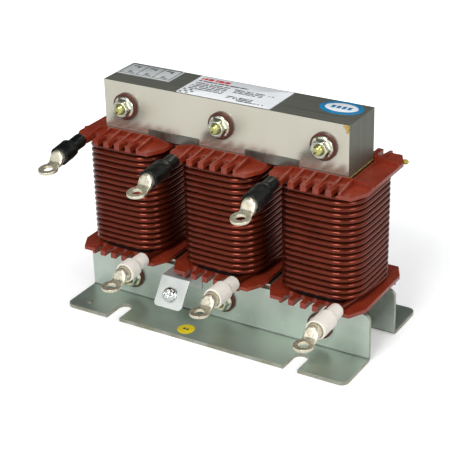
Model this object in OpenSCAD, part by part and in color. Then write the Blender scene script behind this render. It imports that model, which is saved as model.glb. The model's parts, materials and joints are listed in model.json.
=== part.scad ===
// Three-phase line reactor: a laminated three-leg core with air gaps, three wound bobbins with
// lugged leads, two folded foot brackets and an earth tab. Millimetres, +Z up. The origin is the
// middle of the bounding box's underside, and the leads come out towards -Y.

/* [Core] */
// Width of each leg
leg_w = 34; // [30:1:36]
// Thickness of the lamination stack, front to back
stack_d = 35; // [30:1:45]
// Height of each yoke
yoke_h = 35; // [30:1:45]
// Clear height of the windows between the yokes
window_h = 87; // [78:1:96]
// Air gap on top of each leg, filled by a spacer
air_gap = 1.5; // [0.5:0.1:2.5]
// Clearance between the lower yoke and the surface that the feet stand on
yoke_lift = 1.5; // [1:0.1:3]

/* [Bobbins] */
// Clearance between a leg and its bobbin
leg_clear = 0.4; // [0.3:0.1:0.8]
// Wall of the bobbin's tube
bobbin_wall = 2; // [1.2:0.1:2.5]
// Gap between a yoke and the bobbin's tube
tube_end_gap = 1.2; // [1:0.1:1.5]
// Height that each end of the bobbin takes from the window
bobbin_end_h = 4.7; // [4.5:0.1:6]
// Thickness of the flange at its corners
flange_t = 2.5; // [2:0.1:3]
// Width of the flange beyond the coil, left and right
flange_lip_x = 4.6; // [3:0.1:4.8]
// Gap between the flanges of neighbouring bobbins
bobbin_gap = 5; // [3:0.5:15]
// Width of the flange beyond the coil, front and back
flange_lip_y = 5; // [4:0.1:6]
// Length of a flange's corner cut along X
corner_cut_x = 6; // [4:0.5:8]
// Length of a flange's corner cut along Y
corner_cut_y = 11.3; // [8:0.1:13]
// Pitch of the comb's slots
comb_pitch = 8.6; // [8:0.1:9]
// Width of a slot in the comb
comb_slot_w = 4.7; // [3.5:0.1:5]
// Depth of a slot in the comb, from the flange's edge
comb_slot_l = 10.5; // [8:0.5:12]
// Height of the comb's teeth
comb_h = 4; // [3.5:0.1:4.3]
// Width of the ribs that run over the teeth
rib_w = 1.8; // [1.2:0.1:2.4]
// Thickness of the ridge beside the yoke
ridge_t = 1.2; // [0.8:0.1:1.4]
// Height of the ridge above the window's edge
ridge_rise = 1.7; // [1:0.1:1.8]
// Clearance between the ridge and the yoke's face
ridge_clear = 1; // [0.9:0.1:1.2]
// Height of the ridge's outer ends above the flange
ridge_end_h = 1; // [0.6:0.1:2]

/* [Windings] */
// Diameter of the wire
wire_d = 3.5; // [3:0.1:3.6]
// Pitch of the turns in the outer layer
wire_pitch = 4.045; // [4.01:0.005:4.8]
// Distance from the upper flange to the middle of the first turn
first_turn_drop = 2.9; // [2.9:0.1:4]
// Thickness of the inner layers, left and right
inner_side_t = 5.5; // [4:0.1:5.8]
// Thickness of the inner layers, front and back
inner_face_t = 7.6; // [6:0.1:9]
// Thickness of the insulation wrap between the layers
wrap_t = 0.5; // [0.3:0.1:0.8]
// Clearance between the wound layers
layer_clear = 0.1; // [0.1:0.05:0.3]
// Clearance between the wrap and the outer turns
turn_clear = 0.3; // [0.3:0.05:0.5]
// Outer corner radius of the coil
coil_corner_r = 17.5; // [16.5:0.5:19]

/* [Leads] */
// Length of a lead from its sleeve's inner end to its ring hole
lead_len = 40; // [38:1:60]
// Outer diameter of a black sleeve beside the coil
start_sleeve_d = 10; // [7:0.1:10.4]
// Outer diameter of a white sleeve beside the coil
finish_sleeve_d = 10.2; // [7:0.1:10.4]
// Outer diameter of a sleeve over its lug
sleeve_wide_d = 13.6; // [12:0.1:14]
// Length of a sleeve's narrow part
sleeve_narrow_l = 10; // [6:0.5:12]
// Length of a sleeve's taper
sleeve_taper_l = 3; // [1:0.5:4]
// Distance from a black sleeve's outer end to the ring hole
start_setback = 12.5; // [12:0.5:17]
// Distance from a white sleeve's outer end to the ring hole
finish_setback = 15.2; // [12:0.1:17]
// Diameter of the hole in a lug's ring
lug_hole_d = 6.5; // [5.3:0.1:8.4]
// Outer diameter of a lug's ring
lug_ring_d = 13; // [12:0.5:15]
// Thickness of a lug's tongue
tongue_t = 1.9; // [1.4:0.1:2.4]
// Depth of the tongue's middle below the barrel's axis
tongue_drop = 2.9; // [2:0.1:3.2]
// Outer diameter of a lug's barrel
barrel_d = 9.8; // [8:0.1:10.2]
// Length of a lug's barrel
barrel_l = 11; // [8:0.5:14]
// Distance from the barrel's outer end to the ring hole
barrel_setback = 11; // [10:0.5:11.5]

/* [Brackets] */
// Length of a bracket
bracket_l = 215; // [208:1:240]
// Sheet thickness of a bracket
bracket_t = 2.5; // [1.5:0.1:3]
// Height of a bracket's upright flange
bracket_h = 33.8; // [30:0.1:33.8]
// Depth of a foot from the core's face to its edge
foot_d = 36; // [32:1:42]
// Inner radius of a bracket's bend
bend_r = 1.5; // [1:0.5:3]
// Corner radius of a foot
foot_corner_r = 5; // [3:0.5:8]
// Corner radius of an upright flange
flange_corner_r = 5; // [3:0.5:8]
// Distance between a foot's two slots
slot_pitch = 137; // [125:1:150]
// Width of the slots
slot_w = 10.3; // [8:0.1:12]
// Depth of the slots from the foot's edge
slot_l = 19.2; // [15:0.1:22]
// Diameter of the small hole in a foot
pilot_d = 5; // [4:0.1:6]
// Distance from the small hole to the foot's end
pilot_inset_x = 13; // [10:0.5:20]
// Distance from the small hole to the foot's edge
pilot_inset_y = 9.1; // [7:0.1:12]

/* [Fasteners] */
// Diameter of the core bolts
bolt_d = 6; // [5:0.5:6.5]
// Height of the bolts above the inner edge of the upper yoke, and below that of the lower yoke
bolt_inset = 18.5; // [17:0.5:19]
// Width of the nuts and bolt heads across their flats
nut_af = 10; // [9:0.5:11]
// Height of a nut's hexagon with its flange
nut_h = 6; // [5:0.5:8]
// Diameter of a nut's flange
nut_flange_d = 14.2; // [12:0.1:16]
// Thickness of a nut's flange
nut_flange_t = 1.4; // [1:0.1:2]
// Height of a bolt's head
head_h = 4; // [3:0.5:5]
// Length of bolt that stands out of its nut
bolt_out = 2.5; // [1:0.5:5]
// Diameter of the insulating washers
washer_d = 18; // [16:0.5:20]
// Thickness of the insulating washers
washer_t = 2; // [1:0.1:3]
// Wall of the insulating tubes round the bolts
tube_wall = 0.7; // [0.5:0.1:1]
// Clearance round the bolts
bolt_clear = 0.15; // [0.1:0.05:0.2]

/* [Keeper strips] */
// Sheet thickness of a keeper strip
strip_t = 0.7; // [0.5:0.1:0.7]
// Clearance between a strip and the window's sides
strip_clear = 0.2; // [0.1:0.1:0.5]
// Height of the lips that stand in front of the yoke
strip_lip_h = 5.7; // [4:0.1:8]

/* [Earth tab] */
// Width of the tab
tab_w = 21.5; // [18:0.5:22]
// Distance from the middle of the core to the tab's middle
tab_x = 27.3; // [26:0.1:40]
// Sheet thickness of the tab
tab_t = 1.5; // [1:0.1:2]
// Height of the tab's rear leg on the bracket
tab_leg_h = 13; // [10:0.5:16]
// Height of the tab's flat top above the floor
tab_top_z = 34.4; // [34:0.1:34.4]
// Reach of the tab's flat top in front of the bracket
tab_reach = 16; // [15:0.5:18]
// Length of the tab's flap
tab_flap_l = 21; // [20:0.5:22]
// Distance from the tab's bend to the earth screw
screw_run = 12; // [11:0.5:13]
// Angle of the flap from the vertical
tab_lean = 37; // [32:1:42]
// Corner radius of the flap
tab_corner_r = 3; // [1:0.5:4]
// Diameter of the earth screw
screw_d = 5; // [4:0.5:5]
// Length of the earth screw under its head
screw_l = 11; // [9:0.5:14]
// Diameter of the earth screw's head
screw_head_d = 9.5; // [8:0.5:10]
// Height of the earth screw's head
screw_head_h = 3; // [2.5:0.1:4]
// Diameter of the clamp washer
clamp_d = 11; // [10:0.5:13]
// Thickness of the clamp washer
clamp_t = 1; // [0.8:0.1:1.6]
// Width of the weld nut across its flats
weld_nut_af = 8; // [7.5:0.5:10]
// Height of the weld nut
weld_nut_h = 4; // [3:0.5:5]
// Running clearance between the earth screw and its nut
thread_clear = 0.05; // [0.03:0.01:0.08]
// Clearance between the clamp washer and the tab
seat_clear = 0.05; // [0.03:0.01:0.1]

/* [Labels] */
// Thickness of the labels
label_t = 0.3; // [0.2:0.1:0.5]
// Length of the nameplate
nameplate_l = 69; // [60:1:72]
// Depth of the nameplate
nameplate_d = 33; // [25:1:34]
// Length of the wiring label
wiring_l = 42; // [36:1:42]
// Depth of the wiring label
wiring_d = 21; // [16:1:28]
// Length of the oval sticker
oval_l = 30; // [24:1:32]
// Depth of the oval sticker
oval_d = 22; // [18:1:28]
// Diameter of the dot sticker on the front foot
dot_d = 12; // [8:1:16]

/* [Hidden] */
$fn = 48;

// Overrun of the cuts
over = 1;
// Sides of the tubes and rings per corner of the wound wire
wire_sides = 6;
corner_steps = 2;

// Colours
steel_dark = [0.37, 0.38, 0.35];
leg_colour = [0.42, 0.42, 0.40];
bobbin_red = [0.56, 0.23, 0.16];
wire_red = [0.62, 0.25, 0.18];
inner_red = [0.50, 0.20, 0.15];
wrap_yellow = [0.85, 0.75, 0.50];
tin = [0.80, 0.79, 0.76];
black = [0.10, 0.10, 0.11];
white = [0.90, 0.89, 0.87];
zinc_green = [0.71, 0.75, 0.71];
zinc = [0.78, 0.79, 0.78];
yellow_zinc = [0.78, 0.68, 0.42];
washer_brown = [0.45, 0.30, 0.22];
dark_strip = [0.22, 0.23, 0.23];
label_silver = [0.74, 0.75, 0.76];
sticker_blue = [0.25, 0.50, 0.66];
sticker_yellow = [0.86, 0.80, 0.25];

// Core
lower_top = yoke_lift + yoke_h;
upper_bottom = lower_top + window_h;
core_top = upper_bottom + yoke_h;
mid_z = lower_top + window_h / 2;
face_y = stack_d / 2;
leg_l = window_h - air_gap;
bolt_tube_r = bolt_d / 2 + bolt_clear + tube_wall;
bolt_hole_r = bolt_tube_r + bolt_clear;
upper_bolt_z = upper_bottom + bolt_inset;
lower_bolt_z = lower_top - bolt_inset;

// Bobbins, measured from the bobbin's own middle
tube_x = leg_w / 2 + leg_clear + bobbin_wall;
tube_y = stack_d / 2 + leg_clear + bobbin_wall;
tube_z = window_h / 2 - tube_end_gap;
seat_z = window_h / 2 - bobbin_end_h;
comb_z = seat_z + comb_h;
ridge_z = window_h / 2 + ridge_rise;
ridge_y = face_y + ridge_clear;
comb_edge = 2 * comb_pitch + comb_slot_w / 2;
tooth_x = [for (i = [-1.5 : 1.5]) i * comb_pitch];
rib_x = concat([-comb_edge - rib_w / 2], tooth_x, [comb_edge + rib_w / 2]);

// Windings, measured from the coil's axis and its middle height
wire_r = wire_d / 2;
inner_x = tube_x + layer_clear + inner_side_t;
inner_y = tube_y + layer_clear + inner_face_t;
wrap_x = inner_x + layer_clear + wrap_t;
wrap_y = inner_y + layer_clear + wrap_t;
turn_x = wrap_x + turn_clear + wire_r;
turn_y = wrap_y + turn_clear + wire_r;
turn_r = coil_corner_r - wire_r;
coil_x = turn_x + wire_r;
coil_y = turn_y + wire_r;
flange_x = coil_x + flange_lip_x;
flange_y = coil_y + flange_lip_y;
leg_pitch = 2 * flange_x + bobbin_gap;
core_l = 2 * leg_pitch + leg_w;
wound_z = seat_z - turn_clear;
first_z = seat_z - first_turn_drop;
levels = floor((first_z + seat_z - wire_r) / wire_pitch) + 1;
last_z = first_z - (levels - 1) * wire_pitch;
start_z = seat_z - wire_r - layer_clear;

// Leads. Each row holds the sleeve's place across the coil as a share of the turns' half width,
// the angle towards -X, the droop, and the length as a share of lead_len.
start_lead_shares = [[-0.84, 0, 7, 0.922], [-0.85, 0.7, 5, 1.037], [-0.868, 0, 7.4, 1.004]];
finish_lead_shares = [[0.76, 0, 0.7, 0.94], [0.662, 0, -1.5, 1.04], [0.724, 0, 0, 1.105]];
// Gap between the flange's edge and a white sleeve, and the same for a black one
finish_sleeve_gap = 0.4;
start_sleeve_gap = 1.6;
// Height of the black sleeves' axes above the flange's corner
start_axis_rise = 0.1;
start_axis_z = seat_z + flange_t + start_axis_rise;
// Clearance between the wire and the hole in its sleeve and lug
wire_clear = 0.25;
socket_clear = 0.15;
sleeve_clear = 0.1;
socket_end_t = 1;
// Depth of the notch that lets the start of the wire through the flange, and its clearance
notch_l = 6.5;
notch_clear = 1;
start_sleeve_y = -flange_y - start_sleeve_gap;
finish_sleeve_y = -flange_y - finish_sleeve_gap;

function coil_centre(i) = (i - 1) * leg_pitch;
function start_foot(i) = [start_lead_shares[i][0] * turn_x, start_sleeve_y, start_axis_z];
function finish_foot(i) = [finish_lead_shares[i][0] * turn_x, finish_sleeve_y, last_z];
function lead_run(row) = row[3] * lead_len;
function lead_way(row) = [
    -sin(row[1]) * cos(row[2]),
    -cos(row[1]) * cos(row[2]),
    -sin(row[2])
];
function lead_up(row) = [
    -sin(row[1]) * sin(row[2]),
    -cos(row[1]) * sin(row[2]),
    cos(row[2])
];
function socket_run(row) = lead_run(row) - barrel_setback - socket_end_t;
function ring_centre(foot, row) =
    foot + lead_run(row) * lead_way(row) - tongue_drop * lead_up(row);
function front_reach(foot, row) =
    -ring_centre(foot, row)[1] + lug_ring_d / 2 * cos(row[2]) + tongue_t / 2 * abs(sin(row[2]));

// The leads reach further forward than the feet reach back, so the core stands behind the origin
foot_reach = face_y + foot_d;
lug_reach = max(concat(
    [for (i = [0 : 2]) front_reach(start_foot(i), start_lead_shares[i])],
    [for (i = [0 : 2]) front_reach(finish_foot(i), finish_lead_shares[i])]
));
core_y = (lug_reach - foot_reach) / 2;

// Earth tab, measured from the core's axis
tab_back_y = -face_y - bracket_t;
tab_bend_y = tab_back_y - tab_reach;
screw_seat = [
    -tab_x,
    tab_bend_y - screw_run * sin(tab_lean),
    tab_top_z - screw_run * cos(tab_lean)
];

module at_core() {
    translate([0, core_y, 0]) children();
}

module at_coil(i) {
    at_core() translate([coil_centre(i), 0, mid_z]) children();
}

module box_at(x0, x1, y0, y1, z0, z1) {
    translate([x0, y0, z0]) cube([x1 - x0, y1 - y0, z1 - z0]);
}

module rounded_rect(half_x, half_y, r) {
    square([2 * half_x, 2 * (half_y - r)], center = true);
    square([2 * (half_x - r), 2 * half_y], center = true);
    for (sx = [-1, 1], sy = [-1, 1]) {
        translate([sx * (half_x - r), sy * (half_y - r)]) circle(r);
    }
}

// A cylinder along -Y that starts at the origin
module forward_cylinder(r, l) {
    rotate([90, 0, 0]) cylinder(r = r, h = l);
}

// Core

module yoke(z) {
    hole_z = z == yoke_lift ? lower_bolt_z : upper_bolt_z;
    difference() {
        box_at(-core_l / 2, core_l / 2, -face_y, face_y, z, z + yoke_h);
        for (i = [0 : 2]) {
            translate([coil_centre(i), face_y + over, hole_z])
                forward_cylinder(bolt_hole_r, stack_d + 2 * over);
        }
    }
}

module lower_yoke() {
    color(steel_dark) at_core() yoke(yoke_lift);
}

module upper_yoke() {
    color(steel_dark) at_core() yoke(upper_bottom);
}

module leg(i) {
    x = coil_centre(i);
    color(leg_colour) at_core()
        box_at(x - leg_w / 2, x + leg_w / 2, -face_y, face_y, lower_top, lower_top + leg_l);
}

module left_leg() { leg(0); }
module middle_leg() { leg(1); }
module right_leg() { leg(2); }

module air_gap_spacers() {
    color(wrap_yellow) at_core() for (i = [0 : 2]) {
        x = coil_centre(i);
        box_at(x - leg_w / 2, x + leg_w / 2, -face_y, face_y, lower_top + leg_l, upper_bottom);
    }
}

// Bobbins

module flange_outline() {
    polygon([
        [flange_x, flange_y - corner_cut_y],
        [flange_x - corner_cut_x, flange_y],
        [-flange_x + corner_cut_x, flange_y],
        [-flange_x, flange_y - corner_cut_y],
        [-flange_x, -flange_y + corner_cut_y],
        [-flange_x + corner_cut_x, -flange_y],
        [flange_x - corner_cut_x, -flange_y],
        [flange_x, -flange_y + corner_cut_y]
    ]);
}

// A rib over one tooth, front or back, that falls from the ridge to the tooth's tip
module comb_rib(x, side) {
    translate([x - rib_w / 2, 0, 0]) rotate([90, 0, 90]) linear_extrude(rib_w) polygon([
        [side * ridge_y, seat_z],
        [side * ridge_y, ridge_z],
        [side * (ridge_y + ridge_t), ridge_z],
        [side * flange_y, comb_z],
        [side * flange_y, seat_z]
    ]);
}

// The ridge along the yoke, front or back, which falls to the flange's sides beyond the comb
module ridge(side) {
    level_x = comb_edge + rib_w;
    end_z = seat_z + flange_t + ridge_end_h;
    translate([0, side > 0 ? ridge_y + ridge_t : -ridge_y, 0])
        rotate([90, 0, 0]) linear_extrude(ridge_t) polygon([
            [-flange_x, seat_z],
            [-flange_x, end_z],
            [-level_x, ridge_z],
            [level_x, ridge_z],
            [flange_x, end_z],
            [flange_x, seat_z]
        ]);
}

module comb_slot(x, side) {
    end_y = flange_y - comb_slot_l + comb_slot_w / 2;
    translate([x, side * end_y, seat_z - over])
        cylinder(r = comb_slot_w / 2, h = ridge_z - seat_z + 2 * over);
    y0 = side > 0 ? end_y : -flange_y - over;
    y1 = side > 0 ? flange_y + over : -end_y;
    box_at(x - comb_slot_w / 2, x + comb_slot_w / 2, y0, y1, seat_z - over, ridge_z + over);
}

module bobbin_end() {
    difference() {
        union() {
            translate([0, 0, seat_z]) linear_extrude(flange_t) flange_outline();
            for (side = [-1, 1]) {
                y0 = side > 0 ? ridge_y : -flange_y;
                y1 = side > 0 ? flange_y : -ridge_y;
                box_at(-comb_edge, comb_edge, y0, y1, seat_z, comb_z);
                ridge(side);
                for (x = rib_x) comb_rib(x, side);
            }
        }
        for (side = [-1, 1], k = [-2 : 2]) comb_slot(k * comb_pitch, side);
    }
}

module bobbin(i) {
    notch_in = comb_edge + rib_w;
    notch_out = turn_x + wire_r + notch_clear;
    color(bobbin_red) at_coil(i) difference() {
        union() {
            bobbin_end();
            mirror([0, 0, 1]) bobbin_end();
            box_at(-tube_x, tube_x, -tube_y, tube_y, -tube_z, tube_z);
        }
        translate([0, 0, -tube_z - over]) linear_extrude(2 * (tube_z + over))
            square([leg_w + 2 * leg_clear, stack_d + 2 * leg_clear], center = true);
        box_at(-notch_out, -notch_in, -flange_y - over, -flange_y + notch_l, seat_z - over, comb_z);
    }
}

module left_bobbin() { bobbin(0); }
module middle_bobbin() { bobbin(1); }
module right_bobbin() { bobbin(2); }

// Windings

module wound_ring(in_x, in_y, in_r, out_x, out_y, out_r) {
    translate([0, 0, -wound_z]) linear_extrude(2 * wound_z) difference() {
        rounded_rect(out_x, out_y, out_r);
        if (in_r > 0) rounded_rect(in_x, in_y, in_r);
        if (in_r == 0) square([2 * in_x, 2 * in_y], center = true);
    }
}

module inner_winding(i) {
    color(inner_red) at_coil(i)
        wound_ring(tube_x + layer_clear, tube_y + layer_clear, 0,
            inner_x, inner_y, coil_corner_r - wrap_t - layer_clear);
}

module wrap(i) {
    color(wrap_yellow) at_coil(i)
        wound_ring(inner_x + layer_clear, inner_y + layer_clear, coil_corner_r - wrap_t,
            wrap_x, wrap_y, coil_corner_r);
}

module left_inner_winding() { inner_winding(0); }
module middle_inner_winding() { inner_winding(1); }
module right_inner_winding() { inner_winding(2); }
module left_wrap() { wrap(0); }
module middle_wrap() { wrap(1); }
module right_wrap() { wrap(2); }

// The corners of a turn follow each other clockwise: back left, back right, front right and
// front left. The wire steps down to the next turn in the front left corner.
function corner_point(q, s, z) = [
    (q == 0 || q == 3 ? -1 : 1) * (turn_x - turn_r) + turn_r * cos(180 - 90 * q - 90 * s / corner_steps),
    (q < 2 ? 1 : -1) * (turn_y - turn_r) + turn_r * sin(180 - 90 * q - 90 * s / corner_steps),
    q == 3 ? z - wire_pitch * s / corner_steps : z
];

turns_path = [
    for (n = [0 : levels - 2], q = [0 : 3], s = [0 : corner_steps])
        corner_point(q, s, first_z - n * wire_pitch)
];
last_turn_path = [
    for (q = [0 : 1], s = [0 : corner_steps]) corner_point(q, s, last_z)
];

// From the lug's socket through the sleeve and the flange's notch to the first turn
function lead_in(i) =
    let (
        row = start_lead_shares[i],
        foot = start_foot(i),
        bend = [-turn_x, -flange_y + notch_l - layer_clear, start_z]
    )
    [
        foot + socket_run(row) * lead_way(row),
        foot + (socket_run(row) - wire_d) * lead_way(row),
        foot + wire_d * lead_way(row),
        foot - start_sleeve_gap / 2 * lead_way(row),
        bend,
        [-turn_x, turn_r - turn_y, start_z]
    ];

// From the last turn's right side through the sleeve to the lug's socket. The shares say how far
// the wire has moved inward, from the side of the coil to the sleeve, at two points on the way.
side_share = 0.25;
ease_share = 0.7;
function lead_out(i) =
    let (
        row = finish_lead_shares[i],
        foot = finish_foot(i),
        inward = foot[0] - turn_x,
        side_end = [turn_x, turn_r - turn_y, last_z],
        ease = [turn_x + ease_share * inward, -turn_y, last_z]
    )
    [
        side_end,
        [turn_x + side_share * inward, (side_end[1] + ease[1]) / 2, last_z],
        ease,
        foot,
        foot + wire_d * lead_way(row),
        foot + (socket_run(row) - wire_d) * lead_way(row),
        foot + socket_run(row) * lead_way(row)
    ];

function wire_path(i) = concat(lead_in(i), turns_path, last_turn_path, lead_out(i));

function unit(v) = v / norm(v);

// Ring of points round the path's point k, widened where the path bends
function wire_ring(path, k) =
    let (
        n = len(path) - 1,
        before = unit(path[max(k, 1)] - path[max(k, 1) - 1]),
        after = unit(path[min(k, n - 1) + 1] - path[min(k, n - 1)]),
        way = unit(before + after),
        side = unit(cross(way, [0, 0, 1])),
        up = cross(side, way),
        widen = 1 / (way * after)
    )
    [
        for (a = [0 : wire_sides - 1])
            path[k] + wire_r * (widen * cos(360 * a / wire_sides) * side + sin(360 * a / wire_sides) * up)
    ];

module wire_tube(path) {
    n = len(path);
    points = [for (k = [0 : n - 1]) each wire_ring(path, k)];
    sides = [
        for (k = [0 : n - 2], a = [0 : wire_sides - 1])
            let (
                b = (a + 1) % wire_sides,
                p = k * wire_sides + a,
                q = k * wire_sides + b,
                r = p + wire_sides,
                s = q + wire_sides
            )
            each [[p, r, q], [q, r, s]]
    ];
    first_cap = [for (a = [1 : wire_sides - 2]) [0, a, a + 1]];
    end = (n - 1) * wire_sides;
    last_cap = [for (a = [1 : wire_sides - 2]) [end, end + a + 1, end + a]];
    polyhedron(points = points, faces = concat(sides, first_cap, last_cap));
}

// Least gap between parts of the wire that lie a turn apart, on points along the path
gap_steps = 4;
function fine_path(path) = [
    for (k = [0 : len(path) - 2], s = [0 : gap_steps - 1])
        path[k] + (path[k + 1] - path[k]) * s / gap_steps
];
function least_gap(path) =
    let (
        fine = fine_path(path),
        loop = gap_steps * 4 * (corner_steps + 1),
        near = loop / 2,
        far = loop + near
    )
    min([
        for (k = [0 : len(fine) - near - 1], m = [near : far])
            if (k + m < len(fine)) norm(fine[k + m] - fine[k])
    ]) - wire_d;

module outer_winding(i) {
    path = wire_path(i);
    echo(coil = i, loops = levels - 1, least_gap = least_gap(path));
    color(wire_red) at_coil(i) wire_tube(path);
}

module left_outer_winding() { outer_winding(0); }
module middle_outer_winding() { outer_winding(1); }
module right_outer_winding() { outer_winding(2); }

// Leads

module at_lead(i, foot, row) {
    at_coil(i) translate(foot) rotate([row[2], 0, -row[1]]) children();
}

// A sleeve along -Y: narrow over the wire, wide over the lug's barrel
module sleeve(row, narrow_d, setback) {
    l = lead_run(row) - setback;
    wide_l = sleeve_narrow_l + sleeve_taper_l;
    barrel_start = lead_run(row) - barrel_setback - barrel_l;
    hole_r = wire_r + wire_clear;
    wide_r = barrel_d / 2 + sleeve_clear;
    rotate([90, 0, 0]) rotate_extrude() polygon([
        [hole_r, 0],
        [narrow_d / 2, 0],
        [narrow_d / 2, sleeve_narrow_l],
        [sleeve_wide_d / 2, wide_l],
        [sleeve_wide_d / 2, l],
        [wide_r, l],
        [wide_r, barrel_start - sleeve_clear],
        [hole_r, barrel_start - sleeve_clear]
    ]);
}

module start_sleeve(i) {
    row = start_lead_shares[i];
    color(black) at_lead(i, start_foot(i), row) sleeve(row, start_sleeve_d, start_setback);
}

module finish_sleeve(i) {
    row = finish_lead_shares[i];
    color(white) at_lead(i, finish_foot(i), row) sleeve(row, finish_sleeve_d, finish_setback);
}

// A ring lug along -Y: a barrel with a socket for the wire, a flattened neck and a ring
module lug(row) {
    run = lead_run(row);
    barrel_end = run - barrel_setback;
    neck_end = run - lug_ring_d / 2;
    neck_w = barrel_d;
    difference() {
        union() {
            translate([0, -barrel_end + barrel_l, 0]) forward_cylinder(barrel_d / 2, barrel_l);
            hull() {
                translate([0, -barrel_end + socket_end_t, 0])
                    rotate([90, 0, 0]) cylinder(r = barrel_d / 2, h = socket_end_t, $fn = 32);
                translate([-neck_w / 2, -neck_end, -tongue_drop - tongue_t / 2])
                    cube([neck_w, socket_end_t, tongue_t]);
            }
            translate([-neck_w / 2, -run, -tongue_drop - tongue_t / 2])
                cube([neck_w, run - neck_end + socket_end_t, tongue_t]);
            translate([0, -run, -tongue_drop - tongue_t / 2])
                cylinder(r = lug_ring_d / 2, h = tongue_t);
        }
        translate([0, -barrel_end + barrel_l + over, 0])
            forward_cylinder(wire_r + socket_clear, barrel_l + over - socket_end_t);
        translate([0, -run, -tongue_drop - tongue_t / 2 - over])
            cylinder(r = lug_hole_d / 2, h = tongue_t + 2 * over);
    }
}

module start_lug(i) {
    row = start_lead_shares[i];
    color(tin) at_lead(i, start_foot(i), row) lug(row);
}

module finish_lug(i) {
    row = finish_lead_shares[i];
    color(tin) at_lead(i, finish_foot(i), row) lug(row);
}

module left_start_sleeve() { start_sleeve(0); }
module middle_start_sleeve() { start_sleeve(1); }
module right_start_sleeve() { start_sleeve(2); }
module left_finish_sleeve() { finish_sleeve(0); }
module middle_finish_sleeve() { finish_sleeve(1); }
module right_finish_sleeve() { finish_sleeve(2); }
module left_start_lug() { start_lug(0); }
module middle_start_lug() { start_lug(1); }
module right_start_lug() { start_lug(2); }
module left_finish_lug() { finish_lug(0); }
module middle_finish_lug() { finish_lug(1); }
module right_finish_lug() { finish_lug(2); }

// Brackets

module bracket_section() {
    difference() {
        union() {
            translate([-face_y - bracket_t, 0]) square([bracket_t, bracket_h]);
            translate([-foot_reach, 0]) square([foot_d, bracket_t]);
            translate([-face_y - bracket_t - bend_r, bracket_t]) square(bend_r);
        }
        translate([-face_y - bracket_t - bend_r, bracket_t + bend_r]) circle(bend_r);
        difference() {
            translate([-face_y - bracket_t - bend_r, -over])
                square([bracket_t + bend_r + over, bracket_t + bend_r + over]);
            translate([-face_y - bracket_t - bend_r, bracket_t + bend_r])
                circle(bracket_t + bend_r);
        }
    }
}

module bracket() {
    slot_end = foot_reach - slot_l + slot_w / 2;
    difference() {
        rotate([90, 0, 90]) translate([0, 0, -bracket_l / 2]) linear_extrude(bracket_l) bracket_section();
        for (side = [-1, 1]) {
            translate([side * slot_pitch / 2, -slot_end, -over])
                cylinder(r = slot_w / 2, h = bracket_t + 2 * over);
            translate([side * slot_pitch / 2 - slot_w / 2, -foot_reach - over, -over])
                cube([slot_w, foot_reach + over - slot_end, bracket_t + 2 * over]);
            foot_corner(side);
            flange_corner(side);
        }
        translate([-bracket_l / 2 + pilot_inset_x, -foot_reach + pilot_inset_y, -over])
            cylinder(r = pilot_d / 2, h = bracket_t + 2 * over);
        for (i = [0 : 2]) {
            translate([coil_centre(i), -face_y + over, lower_bolt_z])
                forward_cylinder(bolt_hole_r, bracket_t + 2 * over);
        }
    }
}

// Waste outside the rounded corner of a foot
module foot_corner(side) {
    x = bracket_l / 2 - foot_corner_r;
    y = foot_reach - foot_corner_r;
    translate([side * x, -y, -over]) difference() {
        translate([side > 0 ? 0 : -foot_corner_r - over, -foot_corner_r - over, 0])
            cube([foot_corner_r + over, foot_corner_r + over, bracket_t + 2 * over]);
        translate([0, 0, -over]) cylinder(r = foot_corner_r, h = bracket_t + 4 * over);
    }
}

// Waste outside the rounded corner of an upright flange
module flange_corner(side) {
    x = bracket_l / 2 - flange_corner_r;
    z = bracket_h - flange_corner_r;
    translate([side * x, -face_y + over, z]) difference() {
        translate([side > 0 ? 0 : -flange_corner_r - over, -bracket_t - 2 * over, 0])
            cube([flange_corner_r + over, bracket_t + 2 * over, flange_corner_r + over]);
        translate([0, over, 0]) forward_cylinder(flange_corner_r, bracket_t + 4 * over);
    }
}

module front_bracket() {
    color(zinc_green) at_core() bracket();
}

module rear_bracket() {
    color(zinc_green) at_core() rotate([0, 0, 180]) bracket();
}

// Fasteners. A row of three bolts runs front to back at height z, and grip is half the thickness
// that it clamps.

module bolt_row(z) {
    at_core() for (i = [0 : 2]) translate([coil_centre(i), 0, z]) children();
}

module core_bolt(grip) {
    back = grip + washer_t;
    front = grip + washer_t + nut_h + bolt_out;
    translate([0, back, 0]) forward_cylinder(bolt_d / 2, back + front);
    translate([0, back + head_h, 0]) rotate([90, 0, 0])
        cylinder(r = nut_af / 2 / cos(30), h = head_h, $fn = 6);
}

module core_nut(grip) {
    translate([0, -grip - washer_t, 0]) rotate([90, 0, 0]) difference() {
        union() {
            cylinder(r = nut_flange_d / 2, h = nut_flange_t);
            cylinder(r = nut_af / 2 / cos(30), h = nut_h, $fn = 6);
        }
        translate([0, 0, -over]) cylinder(r = bolt_d / 2 + thread_clear, h = nut_h + 2 * over);
    }
}

module washer_pair(grip) {
    for (y = [-grip, grip + washer_t]) translate([0, y, 0]) rotate([90, 0, 0]) difference() {
        cylinder(r = washer_d / 2, h = washer_t);
        translate([0, 0, -over]) cylinder(r = bolt_d / 2 + bolt_clear, h = washer_t + 2 * over);
    }
}

module bolt_tube(grip) {
    translate([0, grip, 0]) rotate([90, 0, 0]) difference() {
        cylinder(r = bolt_tube_r, h = 2 * grip);
        translate([0, 0, -over]) cylinder(r = bolt_d / 2 + bolt_clear, h = 2 * (grip + over));
    }
}

upper_grip = face_y;
lower_grip = face_y + bracket_t;

module upper_bolts() {
    color(yellow_zinc) bolt_row(upper_bolt_z) core_bolt(upper_grip);
}

module upper_bolt_tubes() {
    color(washer_brown) bolt_row(upper_bolt_z) bolt_tube(upper_grip);
}

module upper_washers() {
    color(washer_brown) bolt_row(upper_bolt_z) washer_pair(upper_grip);
}

module upper_nuts() {
    color(zinc) bolt_row(upper_bolt_z) core_nut(upper_grip);
}

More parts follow.
